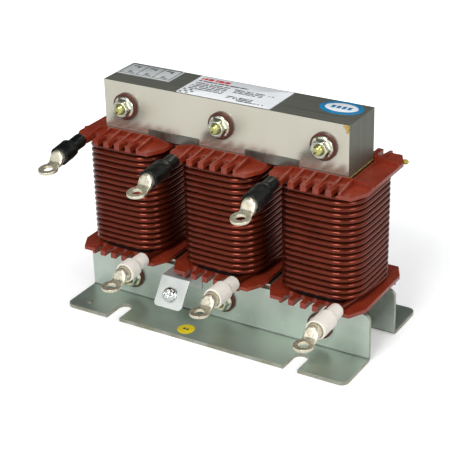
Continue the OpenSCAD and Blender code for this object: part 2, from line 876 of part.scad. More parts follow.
module lower_bolts() {
    color(yellow_zinc) bolt_row(lower_bolt_z) core_bolt(lower_grip);
}

module lower_bolt_tubes() {
    color(washer_brown) bolt_row(lower_bolt_z) bolt_tube(lower_grip);
}

module lower_washers() {
    color(washer_brown) bolt_row(lower_bolt_z) washer_pair(lower_grip);
}

module lower_nuts() {
    color(zinc) bolt_row(lower_bolt_z) core_nut(lower_grip);
}

// A strip under the upper yoke in one window, with a lip in front of the yoke and one behind it
module keeper_strip(side) {
    x0 = leg_w / 2 + strip_clear;
    x1 = leg_pitch - leg_w / 2 - strip_clear;
    a = side > 0 ? x0 : -x1;
    b = side > 0 ? x1 : -x0;
    reach = face_y + strip_t;
    z0 = upper_bottom - strip_t;
    color(dark_strip) at_core() {
        box_at(a, b, -reach, reach, z0, upper_bottom);
        box_at(a, b, -reach, -face_y, z0, upper_bottom + strip_lip_h);
        box_at(a, b, face_y, reach, z0, upper_bottom + strip_lip_h);
    }
}

module left_keeper_strip() { keeper_strip(-1); }
module right_keeper_strip() { keeper_strip(1); }

// Earth tab

// Puts its children on the flap at the screw, with +Z out of the flap
module at_screw() {
    at_core() translate(screw_seat) rotate([90 - tab_lean, 0, 0]) children();
}

module earth_tab() {
    thick_y = tab_t / cos(tab_lean);
    lean_y = tab_flap_l * sin(tab_lean);
    lean_z = tab_flap_l * cos(tab_lean);
    in_y = tab_t * cos(tab_lean);
    in_z = tab_t * sin(tab_lean);
    mitre = tab_t * (1 - sin(tab_lean)) / cos(tab_lean);
    color(zinc) difference() {
        at_core() translate([-tab_x - tab_w / 2, 0, 0]) rotate([90, 0, 90]) linear_extrude(tab_w)
            polygon([
                [tab_back_y, tab_top_z - tab_leg_h],
                [tab_back_y, tab_top_z],
                [tab_bend_y, tab_top_z],
                [tab_bend_y - lean_y, tab_top_z - lean_z],
                [tab_bend_y - lean_y + in_y, tab_top_z - lean_z - in_z],
                [tab_bend_y + mitre, tab_top_z - tab_t],
                [tab_back_y - tab_t, tab_top_z - tab_t],
                [tab_back_y - tab_t, tab_top_z - tab_leg_h]
            ]);
        at_screw() {
            translate([0, 0, -tab_t - over]) cylinder(r = screw_d / 2 + bolt_clear, h = tab_t + 2 * over);
            for (side = [-1, 1]) flap_corner(side);
        }
    }
}

// Waste outside the rounded lower corner of the flap
module flap_corner(side) {
    x = tab_w / 2 - tab_corner_r;
    y = tab_flap_l - screw_run - tab_corner_r;
    translate([side * x, -y, -tab_t - over]) difference() {
        translate([side > 0 ? 0 : -tab_corner_r - over, -tab_corner_r - over, 0])
            cube([tab_corner_r + over, tab_corner_r + over, tab_t + 2 * over]);
        translate([0, 0, -over]) cylinder(r = tab_corner_r, h = tab_t + 4 * over);
    }
}

module earth_weld_nut() {
    color(zinc) at_screw() translate([0, 0, -tab_t - weld_nut_h]) difference() {
        cylinder(r = weld_nut_af / 2 / cos(30), h = weld_nut_h, $fn = 6);
        translate([0, 0, -over]) cylinder(r = screw_d / 2 + thread_clear, h = weld_nut_h + 2 * over);
    }
}

module earth_clamp_washer() {
    color(zinc) at_screw() translate([0, 0, seat_clear]) difference() {
        cylinder(r = clamp_d / 2, h = clamp_t);
        translate([0, 0, -over]) cylinder(r = screw_d / 2 + bolt_clear, h = clamp_t + 2 * over);
    }
}

module earth_screw() {
    head_z = 2 * seat_clear + clamp_t;
    recess_w = screw_head_d / 6;
    recess_l = screw_head_d / 2;
    recess_h = screw_head_h / 2;
    color(zinc) at_screw() difference() {
        union() {
            translate([0, 0, head_z - screw_l]) cylinder(r = screw_d / 2, h = screw_l);
            translate([0, 0, head_z]) cylinder(r = screw_head_d / 2, h = screw_head_h);
        }
        for (a = [0, 90]) rotate([0, 0, a])
            translate([-recess_l / 2, -recess_w / 2, head_z + screw_head_h - recess_h])
                cube([recess_l, recess_w, recess_h + over]);
    }
}

// Labels. The places are shares of the yoke's half length and half depth.

wiring_share = -0.765;
wiring_depth_share = 0.4;
oval_share = 0.79;
oval_depth_share = 0.37;
dot_share = -0.143;
dot_inset = 9.2;

module on_yoke(x_share, y_share) {
    at_core() translate([x_share * core_l / 2, y_share * face_y, core_top])
        linear_extrude(label_t) children();
}

module nameplate() {
    color(white) on_yoke(0, 0)
        square([nameplate_l, nameplate_d], center = true);
}

module wiring_label() {
    color(label_silver) on_yoke(wiring_share, wiring_depth_share)
        square([wiring_l, wiring_d], center = true);
}

module oval_sticker() {
    color(sticker_blue) on_yoke(oval_share, oval_depth_share) polygon([
        for (a = [0 : 360 / $fn : 359]) [oval_l / 2 * cos(a), oval_d / 2 * sin(a)]
    ]);
}

module dot_sticker() {
    color(sticker_yellow) at_core()
        translate([dot_share * bracket_l / 2, -foot_reach + dot_inset, bracket_t])
        cylinder(r = dot_d / 2, h = label_t);
}

lower_yoke();
left_leg();
middle_leg();
right_leg();
air_gap_spacers();
upper_yoke();
left_bobbin();
middle_bobbin();
right_bobbin();
left_inner_winding();
middle_inner_winding();
right_inner_winding();
left_wrap();
middle_wrap();
right_wrap();
left_outer_winding();
middle_outer_winding();
right_outer_winding();
left_start_sleeve();
middle_start_sleeve();
right_start_sleeve();
left_finish_sleeve();
middle_finish_sleeve();
right_finish_sleeve();
left_start_lug();
middle_start_lug();
right_start_lug();
left_finish_lug();
middle_finish_lug();
right_finish_lug();
front_bracket();
rear_bracket();
upper_bolts();
upper_bolt_tubes();
upper_washers();
upper_nuts();
lower_bolts();
lower_bolt_tubes();
lower_washers();
lower_nuts();
left_keeper_strip();
right_keeper_strip();
earth_tab();
earth_weld_nut();
earth_clamp_washer();
earth_screw();
nameplate();
wiring_label();
oval_sticker();
dot_sticker();
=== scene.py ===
"""Looks of the three-phase line reactor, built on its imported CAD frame. Lengths are in metres."""

import json
import math

import bpy
import numpy as np
from bpy.props import FloatProperty, FloatVectorProperty, IntProperty, PointerProperty
from mathutils import Matrix, Vector


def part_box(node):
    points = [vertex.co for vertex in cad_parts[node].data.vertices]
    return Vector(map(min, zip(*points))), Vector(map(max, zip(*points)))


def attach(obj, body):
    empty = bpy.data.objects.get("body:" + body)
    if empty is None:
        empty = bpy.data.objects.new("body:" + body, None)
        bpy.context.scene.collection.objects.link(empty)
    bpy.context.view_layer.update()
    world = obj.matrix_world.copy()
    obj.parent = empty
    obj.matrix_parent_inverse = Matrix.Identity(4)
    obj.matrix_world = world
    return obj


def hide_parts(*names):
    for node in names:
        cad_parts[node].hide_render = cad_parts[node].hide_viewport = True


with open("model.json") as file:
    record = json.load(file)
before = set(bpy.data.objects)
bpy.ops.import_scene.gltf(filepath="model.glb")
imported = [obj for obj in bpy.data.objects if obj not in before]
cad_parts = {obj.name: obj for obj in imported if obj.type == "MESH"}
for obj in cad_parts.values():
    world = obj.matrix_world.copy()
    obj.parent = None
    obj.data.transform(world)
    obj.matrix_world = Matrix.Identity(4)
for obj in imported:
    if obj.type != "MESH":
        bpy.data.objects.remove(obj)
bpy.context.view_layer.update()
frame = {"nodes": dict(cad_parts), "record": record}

bl_info = {
    "name": "Line reactor",
    "version": (1, 0, 0),
    "blender": (4, 5, 0),
    "location": "3D View > Sidebar > Reactor",
    "description": "Pieces and finishes of a three-phase line reactor",
    "category": "Object",
}

COILS = ("left", "middle", "right")
UP = np.array([0.0, 0.0, 1.0])
RIGHT = np.array([1.0, 0.0, 0.0])
FRONT = np.array([0.0, -1.0, 0.0])
SQUARE = np.array([[-1, -1], [1, -1], [1, 1], [-1, 1]])
# Edges sharper than this are rounded or kept sharp, and faces flatter than this are one.
EDGE_ANGLE, FLAT_ANGLE = math.radians(32), math.radians(1)
# A label's film is cut back by TRIM, and print goes SINK into it and stands PROUD of it.
TRIM, SINK, PROUD = 0.00002, 0.0001, 0.00002
LABEL_CORNER = 0.0012


# Sizes and colours


def length(name, description, value):
    return FloatProperty(name=name, description=description, default=value, min=0, unit="LENGTH", precision=5)


def colour(name, description, value):
    info = {"name": name, "description": description, "default": value}
    return FloatVectorProperty(**info, min=0, max=1, subtype="COLOR_GAMMA")


class ReactorSizes(bpy.types.PropertyGroup):
    """Sizes of the pieces that the frame doesn't give."""

    wire_d: length("Wire", "Diameter of the enamelled wire", 0.0035)
    wire_pitch: length("Pitch", "Pitch of the turns", 0.004045)
    turns: IntProperty(name="Levels", description="Levels of wire in the outer layer", default=19, min=2)
    first_drop: length("First turn", "Drop from the upper flange to the first turn", 0.0029)
    last_drop: length("Start of the wire", "Drop from the upper flange to the wire's start", 0.00205)
    corner_r: length("Corner", "Corner radius of the wire's path", 0.01575)
    bow: length("Bow", "How far the long sides of a turn bow outwards", 0.0003)
    thread_pitch: length("Bolt thread", "Thread pitch of the core bolts", 0.001)
    thread_depth: length("Thread depth", "Depth of the bolts' thread", 0.0005)
    edge_r: length("Edges", "Rounding of cut sheet edges", 0.00018)
    moulded_r: length("Moulded edges", "Rounding of the bobbins' edges", 0.00035)
    label_t: length("Labels", "Thickness of a label's film", 0.00027)


class ReactorColours(bpy.types.PropertyGroup):
    """Colours of the finishes, as seen."""

    steel_light: colour("Yoke face", "Ground face of the yokes", (0.815, 0.8, 0.74))
    steel_dark: colour("Yoke top", "Varnished lamination edges", (0.465, 0.47, 0.43))
    varnish: colour("Varnish", "Dried varnish stains", (0.78, 0.56, 0.16))
    resin: colour("Drips", "Thick dried varnish", (0.62, 0.55, 0.14))
    bobbin: colour("Bobbin", "Moulded bobbins", (0.515, 0.185, 0.11))
    wire: colour("Wire", "Wire enamel", (0.4, 0.16, 0.1))
    # Partly painted shade: dark varnished insulation, its colour made darker still to stand for the shade in
    # the gaps between the turns.
    paper: colour("Insulation", "Varnished insulation between the layers", (0.1, 0.045, 0.035))
    black: colour("Black sleeve", "Heat-shrink sleeves", (0.045, 0.06, 0.058))
    white: colour("White sleeve", "Glass-fibre sleeves", (0.9, 0.88, 0.84))
    tin: colour("Lugs", "Tinned copper", (0.84, 0.82, 0.73))
    zinc: colour("Brackets", "Pale blue-green zinc", (0.755, 0.8, 0.76))
    bright: colour("Nuts", "Bright zinc", (0.8, 0.82, 0.81))
    nut_tint: colour("Nut patches", "Yellow passivation on the nuts", (0.81, 0.815, 0.68))
    gold: colour("Studs", "Yellow passivated zinc", (0.73, 0.72, 0.46))
    brown: colour("Washers", "Phenolic washers", (0.31, 0.125, 0.075))
    strip: colour("Keeper strips", "Dark varnished sheet", (0.44, 0.44, 0.41))
    film: colour("Nameplate", "White label film", (0.9, 0.91, 0.92))
    silver: colour("Wiring label", "Silver label film", (0.77, 0.785, 0.785))
    blue: colour("Oval sticker", "Blue print", (0.1, 0.47, 0.66))
    yellow: colour("Dot sticker", "Yellow print", (0.86, 0.77, 0.05))
    ink: colour("Ink", "Grey print", (0.2, 0.2, 0.22))
    red_ink: colour("Heading", "Red print", (0.8, 0.17, 0.18))


def sizes():
    return bpy.context.scene.reactor_sizes


def shade(name):
    """A colour of the panel, as linear light."""
    c = np.array(getattr(bpy.context.scene.reactor_colours, name))
    return np.where(c > 0.04045, ((c + 0.055) / 1.055) ** 2.4, c / 12.92)


# Surfaces


def unit(v):
    return v / np.linalg.norm(v, axis=-1, keepdims=True)


def circle(sides):
    """Angles round a circle."""
    return np.linspace(0, 2 * math.pi, sides, endpoint=False)


def about_axis(r, a, z):
    """The points (r cos a, r sin a, z)."""
    return np.stack(np.broadcast_arrays(r * np.cos(a), r * np.sin(a), z), -1)


def ease(t):
    """3 t^2 - 2 t^3, held at 0 below t = 0 and at 1 above t = 1."""
    t = np.clip(t, 0, 1)
    return t * t * (3 - 2 * t)


def surface(p, loop=False):
    """The closed surface of the grid p[i, j], with j round it and i along it: quads between
    neighbours, joined along i where loop is set, and a fan to the mean of each end row otherwise.
    Faces are turned outwards, so that the volume sum(a . (b x c)) / 6 is positive."""
    n, m = p.shape[:2]
    k = np.arange(n * m).reshape(n, m)
    if loop:
        k = np.vstack([k, k[:1]])
    k = np.hstack([k, k[:, :1]])
    quads = np.stack([k[:-1, :-1], k[1:, :-1], k[1:, 1:], k[:-1, 1:]], -1).reshape(-1, 4)
    verts = p.reshape(-1, 3)
    fans = np.zeros((0, 3), int)
    if not loop:
        verts = np.vstack([verts, p[0].mean(0), p[-1].mean(0)])
        first = np.stack([k[0, :-1], k[0, 1:], np.full(m, n * m)], -1)
        last = np.stack([k[-1, 1:], k[-1, :-1], np.full(m, n * m + 1)], -1)
        fans = np.vstack([first, last])
    tris = np.vstack([quads[:, :3], quads[:, [0, 2, 3]], fans])
    a, b, c = (verts[tris[:, i]] for i in range(3))
    if (a * np.cross(b, c)).sum() < 0:
        quads, fans = quads[:, ::-1], fans[:, ::-1]
    return verts, quads.tolist() + fans.tolist()


def added(name, data):
    """A new object of the scene."""
    obj = bpy.data.objects.new(name, data)
    bpy.context.scene.collection.objects.link(obj)
    return obj


def meshed(name, verts, faces, material):
    mesh = bpy.data.meshes.new(name)
    mesh.from_pydata(verts.tolist(), [], faces)
    mesh.materials.append(material)
    return added(name, mesh)


def piece(name, parts, material, slot, *nodes, body="reactor"):
    """One object from closed surfaces, riding on a body in place of CAD nodes."""
    verts, faces, start = [], [], 0
    for v, f in parts:
        verts.append(v)
        faces += [[i + start for i in face] for face in f]
        start += len(v)
    obj = meshed(name, np.vstack(verts), faces, material)
    obj.data.polygons.foreach_set("use_smooth", np.ones(len(faces), bool))
    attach(obj, body)
    if nodes:
        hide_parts(*nodes)


def solid(p, origin, x, y, z, loop=False):
    """The closed surface of origin + p_x x + p_y y + p_z z for every point of p."""
    return surface(origin + p[..., :1] * x + p[..., 1:2] * y + p[..., 2:] * z, loop)


def swept(path, radius, sides=20):
    """Tube round a path c(s): c + r (cos a side + sin a up), where side is level and square to the
    path's direction c', and up = side x c'."""
    way = unit(np.gradient(path, axis=0))
    side = unit(np.cross(way, UP))
    up = np.cross(side, way)
    a = circle(sides)[None, :, None]
    r = np.broadcast_to(radius, len(path))[:, None, None]
    return surface(path[:, None] + r * (np.cos(a) * side[:, None] + np.sin(a) * up[:, None]))


def turned(profile, sides, wobble=None):
    """Surface of revolution about z: (r cos a, r sin a, z) for each profile row (r, z), with
    r + wobble(a, row) where a wobble is given."""
    a = circle(sides)[None]
    r = profile[:, :1] + (wobble(a, np.arange(len(profile))[:, None]) if wobble else 0)
    return about_axis(r, a, profile[:, 1:])


def rounded(q, r, steps=5):
    """Closed outline through the corners q, each replaced by the curve
    (1 - t)^2 p + 2 t (1 - t) q + t^2 s from p, r before the corner, to s, r after it."""
    p, s = (
        q + np.minimum(r, 0.49 * np.linalg.norm(way, axis=1, keepdims=True)) * unit(way)
        for way in (np.roll(q, 1, 0) - q, np.roll(q, -1, 0) - q)
    )
    t = np.linspace(0, 1, steps)[None, :, None]
    curve = (1 - t) ** 2 * p[:, None] + 2 * t * (1 - t) * q[:, None] + t**2 * s[:, None]
    return curve.reshape(-1, 2)


def eased(path, rounds=4):
    """Corner cutting: each round puts points at 1/4 and 3/4 of every stretch and keeps the ends."""
    p = np.asarray(path)
    for _ in range(rounds):
        a, b = p[:-1], p[1:]
        inner = np.stack([0.75 * a + 0.25 * b, 0.25 * a + 0.75 * b], 1).reshape(-1, 3)
        p = np.vstack([p[:1], inner, p[-1:]])
    return p


# Materials


def node(tree, kind, **sockets):
    """A shader node. Names that start with prop_ come first and set its own options, others set
    its sockets, and i with a number means a socket by its place."""
    made = tree.nodes.new("ShaderNode" + kind)
    for key, value in sockets.items():
        if key.startswith("prop_"):
            setattr(made, key[5:], value)
            continue
        by_place = key[0] == "i" and key[1:].isdigit()
        socket = made.inputs[int(key[1:]) if by_place else key.replace("_", " ")]
        if isinstance(value, bpy.types.NodeSocket):
            tree.links.new(value, socket)
        else:
            socket.default_value = value
    return made


def calc(tree, operation, *values):
    """The outcome of a maths operation on sockets or numbers."""
    places = {f"i{k}": value for k, value in enumerate(values)}
    return node(tree, "Math", prop_operation=operation, **places).outputs[0]


def span(tree, value, start, end, low=0.0, high=1.0):
    """low where a value is at start, high where it is at end, in proportion between."""
    return node(
        tree, "MapRange", Value=value, From_Min=start, From_Max=end, To_Min=low, To_Max=high
    ).outputs[0]


def blend(tree, share, under, over, kind="MIX"):
    """One colour laid over another by a share."""
    return node(
        tree, "Mix", prop_data_type="RGBA", prop_blend_type=kind, i0=share, i6=under, i7=over
    ).outputs[2]


def along(tree, vector):
    """The X, Y and Z of a vector."""
    return node(tree, "SeparateXYZ", Vector=vector).outputs


def facing(tree):
    """The X, Y and Z of the surface's own normal."""
    return along(tree, node(tree, "NewGeometry").outputs["Normal"])


def cloud(tree, vector, scale, detail=3.0):
    return node(tree, "TexNoise", Vector=vector, Scale=scale, Detail=detail).outputs["Fac"]


def away_from(tree, vector, spot):
    """Distance from a fixed point."""
    return node(tree, "VectorMath", prop_operation="DISTANCE", i0=vector, i1=spot).outputs["Value"]


def mottle(tree, given):
    """Soft patches: a noise blends two colours and two roughnesses."""
    noise = node(
        tree, "TexNoise", Vector=given["Vector"], Scale=given["Scale"], Detail=6.0, Roughness=0.62
    )
    mask = span(tree, noise.outputs["Fac"], 0.34, 0.66)
    rough = span(tree, mask, 0.0, 1.0, given["Smooth"], given["Rough"])
    return {"Color": blend(tree, mask, given["Dark"], given["Light"]), "Roughness": rough}


def grain(tree, given):
    """Fine relief: a noise of a given size and depth as a normal."""
    height = cloud(tree, given["Vector"], given["Scale"])
    return {"Normal": node(tree, "Bump", Distance=given["Depth"], Height=height).outputs[0]}


def specks(tree, given):
    """Small specks: 1 inside scattered cells and 0 elsewhere."""
    cells = node(tree, "TexVoronoi", Vector=given["Vector"], Scale=given["Scale"])
    core = calc(tree, "MULTIPLY", given["Size"], 0.5)
    return {"Mask": span(tree, cells.outputs["Distance"], core, given["Size"], 1.0, 0.0)}


def laminations(tree, given):
    """Edges of stacked sheets along Y: each sheet has its own shade, with a thin dark gap to the
    next one. Mask is the shade and Normal the relief of the gaps."""
    steps = calc(tree, "DIVIDE", along(tree, given["Vector"])["Y"], given["Pitch"])
    sheet = calc(tree, "FLOOR", steps)
    tone = node(tree, "TexWhiteNoise", prop_noise_dimensions="1D", W=sheet).outputs["Value"]
    gap = span(tree, calc(tree, "PINGPONG", calc(tree, "FRACT", steps), 0.5), 0.0, 0.12)
    bump = node(tree, "Bump", Distance=given["Depth"], Height=gap)
    return {"Mask": calc(tree, "MULTIPLY", tone, gap), "Normal": bump.outputs[0]}


# What makes each shared group, its inputs and its outputs. Sockets not in KINDS are numbers.
GROUPS = {
    "Mottle": (mottle, "Vector Scale Dark Light Smooth Rough", "Color Roughness"),
    "Grain": (grain, "Vector Scale Depth", "Normal"),
    "Specks": (specks, "Vector Scale Size", "Mask"),
    "Laminations": (laminations, "Vector Pitch Depth", "Mask Normal"),
}
KINDS = {"Vector": "Vector", "Normal": "Vector", "Dark": "Color", "Light": "Color", "Color": "Color"}


def shared(tree, name, **sockets):
    """The outputs of a shared group in a material. The group is made when first asked for."""
    group = bpy.data.node_groups.get(name)
    if not group:
        maker, ins, outs = GROUPS[name]
        group = bpy.data.node_groups.new(name, "ShaderNodeTree")
        for way, labels in (("INPUT", ins), ("OUTPUT", outs)):
            for label in labels.split():
                kind = "NodeSocket" + KINDS.get(label, "Float")
                group.interface.new_socket(label, in_out=way, socket_type=kind)
        given = group.nodes.new("NodeGroupInput").outputs
        result = group.nodes.new("NodeGroupOutput").inputs
        for label, socket in maker(group, given).items():
            group.links.new(socket, result[label])
    return node(tree, "Group", prop_node_tree=group, **sockets).outputs


def rgba(c, factor=1.0):
    return [*(np.clip(np.asarray(c) * factor, 0, 1)), 1.0]


def finish(
    name, base, spread, scale, smooth, rough, grain=900, depth=1e-5, stretch=(1, 1, 1), patches=None,
    **sockets,
):
    """A material whose colour and roughness drift over the surface, with a fine relief. The
    drift's lighter side is base, or the colour patches where one is named. Returns the material,
    its principled shader, its object coordinates and the drift's outputs."""
    m = bpy.data.materials.new(name)
    m.use_nodes = True
    t = m.node_tree
    t.nodes.clear()
    place = node(t, "TexCoord").outputs["Object"]
    stretched = node(t, "Mapping", Vector=place, Scale=stretch).outputs[0]
    light = shade(patches) if patches else base
    drift = shared(
        t, "Mottle", Vector=stretched, Scale=scale, Smooth=smooth, Rough=rough,
        Dark=rgba(base, 1 - spread), Light=rgba(light, 1 + spread),
    )
    fine = shared(t, "Grain", Vector=stretched, Scale=grain, Depth=depth)
    shader = node(
        t, "BsdfPrincipled", Base_Color=drift["Color"], Roughness=drift["Roughness"],
        Normal=fine["Normal"], **sockets,
    )
    node(t, "OutputMaterial", Surface=shader.outputs[0])
    return m, shader, place, drift


def steel_finish():
    """Varnished core. The ground front and back are pale and smooth enough to mirror the bobbins
    below them. On the top, bottom and ends the sheets' edges show as dark lines and streaks, and
    varnish stains the far front corner of the upper yoke."""
    m, shader, where, drift = finish(
        "core steel", shade("steel_light"), spread=0.05, scale=30, smooth=0.18, rough=0.26, grain=1500,
        depth=3e-6, stretch=(1, 1, 0.35),
    )
    t = m.node_tree
    lines = shared(t, "Laminations", Vector=where, Pitch=5e-4, Depth=2.5e-5)
    drawn = node(t, "Mapping", Vector=where, Scale=(0.03, 1.0, 0.03)).outputs[0]
    tone = calc(t, "ADD", lines["Mask"], cloud(t, drawn, 900.0, 4.0))
    steel = shade("steel_dark")
    edges = blend(t, span(t, tone, 0.25, 1.35), rgba(steel, 0.6), rgba(steel, 1.3))
    low, high = box("upper_yoke")
    corner = (high[0] - 0.0005, low[1], high[2] - 0.0015)
    ragged = calc(t, "MULTIPLY", cloud(t, where, 420.0), 0.0078)
    stain = span(t, calc(t, "SUBTRACT", ragged, away_from(t, where, corner)), 0.0, 0.0012)
    amber = shared(
        t, "Mottle", Vector=where, Scale=1100.0, Dark=rgba(shade("varnish"), 0.25),
        Light=rgba((0.85, 0.62, 0.2)),
    )
    face = blend(t, stain, drift["Color"], amber["Color"])
    normal = facing(t)
    flat = span(t, calc(t, "ABSOLUTE", normal["Y"]), 0.6, 0.75)
    # Painted shade: faces along X, the yoke's ends, are multiplied darker than the top and bottom of the same
    # sheet edges.
    end = calc(t, "ABSOLUTE", normal["X"])
    ends_shaded = blend(t, end, edges, rgba((0.68, 0.68, 0.62)), "MULTIPLY")
    for name, socket in (
        ("Metallic", span(t, flat, 0.0, 1.0, 0.5, 0.8)),
        ("Base Color", blend(t, flat, ends_shaded, face)),
        ("Roughness", span(t, flat, 0.0, 1.0, 0.33, drift["Roughness"])),
        ("Normal", lines["Normal"]),
    ):
        t.links.new(socket, shader.inputs[name])
    return m


def zinc_finish():
    """Pale blue-green zinc with soft clouds and small bright specks. The cut edges of the sheet
    are a duller grey, with yellow-brown passivation in patches, the bend holds a painted shade
    line, and the level foot has painted shade that makes it darker than the wall."""
    m, shader, where, drift = finish(
        "bracket zinc", shade("zinc"), spread=0.1, scale=28, smooth=0.28, rough=0.46, grain=500,
        Metallic=0.75,
    )
    t = m.node_tree
    sparkle = shared(t, "Specks", Vector=where, Scale=170.0, Size=0.11)["Mask"]
    face = blend(t, sparkle, drift["Color"], rgba((0.72, 0.76, 0.73)))
    normal, place = facing(t), along(t, where)
    front = calc(t, "ABSOLUTE", normal["Y"])
    rim = calc(t, "MULTIPLY", front, span(t, place["Z"], 0.0026, 0.0023))
    cut = calc(t, "MAXIMUM", calc(t, "ABSOLUTE", normal["X"]), rim)
    blots = shared(
        t, "Mottle", Vector=where, Scale=95.0, Dark=rgba((0.27, 0.26, 0.17)), Light=rgba((0.44, 0.455, 0.4))
    )
    both = blend(t, span(t, cut, 0.5, 0.8), face, blots["Color"])
    # Painted shade: a dark line along the inside of the bend, where shade falls in the crease.
    corners = points("front_bracket")
    wall = corners[corners[:, 2] > 0.02][:, 1].min()
    core = box("upper_yoke")
    middle = (core[0][1] + core[1][1]) / 2
    out = calc(t, "ABSOLUTE", calc(t, "SUBTRACT", place["Y"], middle))
    fold = node(t, "CombineXYZ", Y=out, Z=place["Z"]).outputs[0]
    bend_shade = span(t, away_from(t, fold, (0, middle - wall, 0.0025)), 0.0007, 0.0014, 0.75, 0.0)
    bend_shaded = blend(t, bend_shade, both, rgba((0.1, 0.13, 0.11)))
    # Painted shade: faces turned up, the level foot, are multiplied darker than the wall.
    level = span(t, normal["Z"], 0.6, 0.9, 0.0, 0.6)
    foot_shaded = blend(t, level, bend_shaded, rgba((0.6, 0.63, 0.59)), "MULTIPLY")
    t.links.new(foot_shaded, shader.inputs["Base Color"])
    return m


# Finishes that need no nodes of their own: the colour in the panel, its spread over the surface,
# the scale of its patches, the least and the greatest roughness, and what else differs.
PLAIN = {
    "gap spacer": ("paper", 0.3, 120, 0.4, 0.7, {}),
    "keeper strip": ("strip", 0.3, 70, 0.16, 0.32, {"Metallic": 0.75}),
    "dried varnish": ("resin", 0.3, 400, 0.12, 0.3, {"grain": 600, "depth": 3e-5}),
    "bobbin": ("bobbin", 0.16, 75, 0.17, 0.31, {"grain": 1100, "depth": 1.4e-5}),
    "wire enamel": ("wire", 0.18, 70, 0.15, 0.24, {
        "grain": 260, "Metallic": 0.6, "Specular_IOR_Level": 0.15, "Coat_Weight": 0.1, "Coat_Roughness": 0.08
    }),
    "insulation": ("paper", 0.15, 140, 0.6, 0.8, {"Specular_IOR_Level": 0.1}),
    "black sleeve": ("black", 0.3, 130, 0.28, 0.42, {"grain": 700, "depth": 3e-5, "Specular_IOR_Level": 0.2}),
    "white sleeve": ("white", 0.035, 160, 0.5, 0.65, {"grain": 1400, "depth": 2.5e-5}),
    "tinned copper": ("tin", 0.14, 420, 0.22, 0.42, {"grain": 700, "depth": 8e-5, "Metallic": 0.8}),
    "yellow zinc": ("gold", 0.2, 300, 0.18, 0.32, {"Metallic": 0.9}),
    "bright zinc": ("bright", 0.08, 170, 0.12, 0.26, {"patches": "nut_tint", "Metallic": 0.95}),
    "phenolic": ("brown", 0.25, 220, 0.4, 0.6, {}),
    "tab zinc": ("bright", 0.06, 50, 0.3, 0.42, {"Metallic": 0.6}),
    "screw zinc": ("bright", 0.1, 400, 0.08, 0.22, {"Metallic": 0.98}),
    "nameplate film": ("film", 0.02, 90, 0.3, 0.45, {}),
    "silver film": ("silver", 0.06, 90, 0.25, 0.4, {"Metallic": 0.1}),
    "blue print": ("blue", 0.05, 120, 0.3, 0.45, {}),
    "yellow print": ("yellow", 0.06, 150, 0.35, 0.5, {}),
    "grey ink": ("ink", 0.2, 500, 0.4, 0.6, {}),
    "red ink": ("red_ink", 0.08, 300, 0.4, 0.6, {}),
}


def plain(name):
    tint, *numbers, others = PLAIN[name]
    return finish(name, shade(tint), *numbers, **others)[0]


def modify(obj, name, kind, **settings):
    made = obj.modifiers.new(name, kind)
    for key, value in settings.items():
        setattr(made, key, value)


def coat_nodes(names, material, edge=0.0):
    """CAD nodes shown as they are: merged, with edges slightly rounded or else sharp, and coated."""
    for name in names:
        obj = frame["nodes"][name]
        mesh = obj.data
        custom = mesh.attributes.get("custom_normal")
        if custom:
            mesh.attributes.remove(custom)
        mesh.polygons.foreach_set("use_smooth", np.ones(len(mesh.polygons), bool))
        mesh.materials.clear()
        mesh.materials.append(material)
        modify(obj, "merge", "WELD", merge_threshold=1e-6)
        modify(obj, "flat faces", "DECIMATE", decimate_type="DISSOLVE", angle_limit=FLAT_ANGLE)
        if edge:
            bevel = {"width": edge, "segments": 2, "limit_method": "ANGLE", "angle_limit": EDGE_ANGLE}
            modify(obj, "edges", "BEVEL", harden_normals=True, **bevel)
        else:
            modify(obj, "sharp edges", "EDGE_SPLIT", split_angle=EDGE_ANGLE)


# Places from the frame


def box(name):
    return [np.array(corner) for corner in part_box(name)]


def mount(name):
    """Place and axis of a mount of the record."""
    found = next(m for m in frame["record"]["mounts"] if m["name"] == name)
    return np.array(found["pos_m"]), unit(np.array(found["axis"]))


def coil_axis(coil):
    """Middle and half size of what a coil's outer layer is wound on."""
    low, high = box(f"{coil}_wrap")
    return (low + high) / 2, (high - low) / 2


def points(name):
    """A CAD node's corners."""
    mesh = frame["nodes"][name].data
    flat = np.empty(3 * len(mesh.vertices))
    mesh.vertices.foreach_get("co", flat)
    return flat.reshape(-1, 3)


class Lead:
    """A lead's place and sizes, read from its CAD lug and sleeve. The barrel's axis goes through
    tip along way, and the ring lies under it by drop. From foot, the sleeve's inner end, it is run
    to tip and end to the sleeve's outer end."""

    def __init__(self, coil, kind):
        self.ring, self.up = mount(f"{coil}_{kind}_terminal")
        level = self.up * (1, 1, 0)
        ahead = FRONT if np.linalg.norm(level) < 1e-6 else unit(level * -np.sign(level[1]))
        self.way = unit(ahead - self.up * (self.up @ ahead))
        self.side = np.cross(self.way, self.up)
        lug = points(f"{coil}_{kind}_lug") - self.ring
        s = lug @ self.way
        near = 1e-4
        socket = (lug @ self.up)[s < s.min() + near]
        self.drop = (socket.min() + socket.max()) / 2
        self.barrel_r = (socket.max() - socket.min()) / 2
        self.tip = self.ring + self.drop * self.up
        sleeve = points(f"{coil}_{kind}_sleeve") - self.tip
        s = sleeve @ self.way
        r = np.linalg.norm(sleeve - s[:, None] * self.way, axis=1)
        self.run = -s.min()
        self.foot = self.tip - self.run * self.way
        self.end = s.max() - s.min()
        self.narrow_r = r[s < s.min() + near].max()
        self.wide_r = r.max()


# Pieces


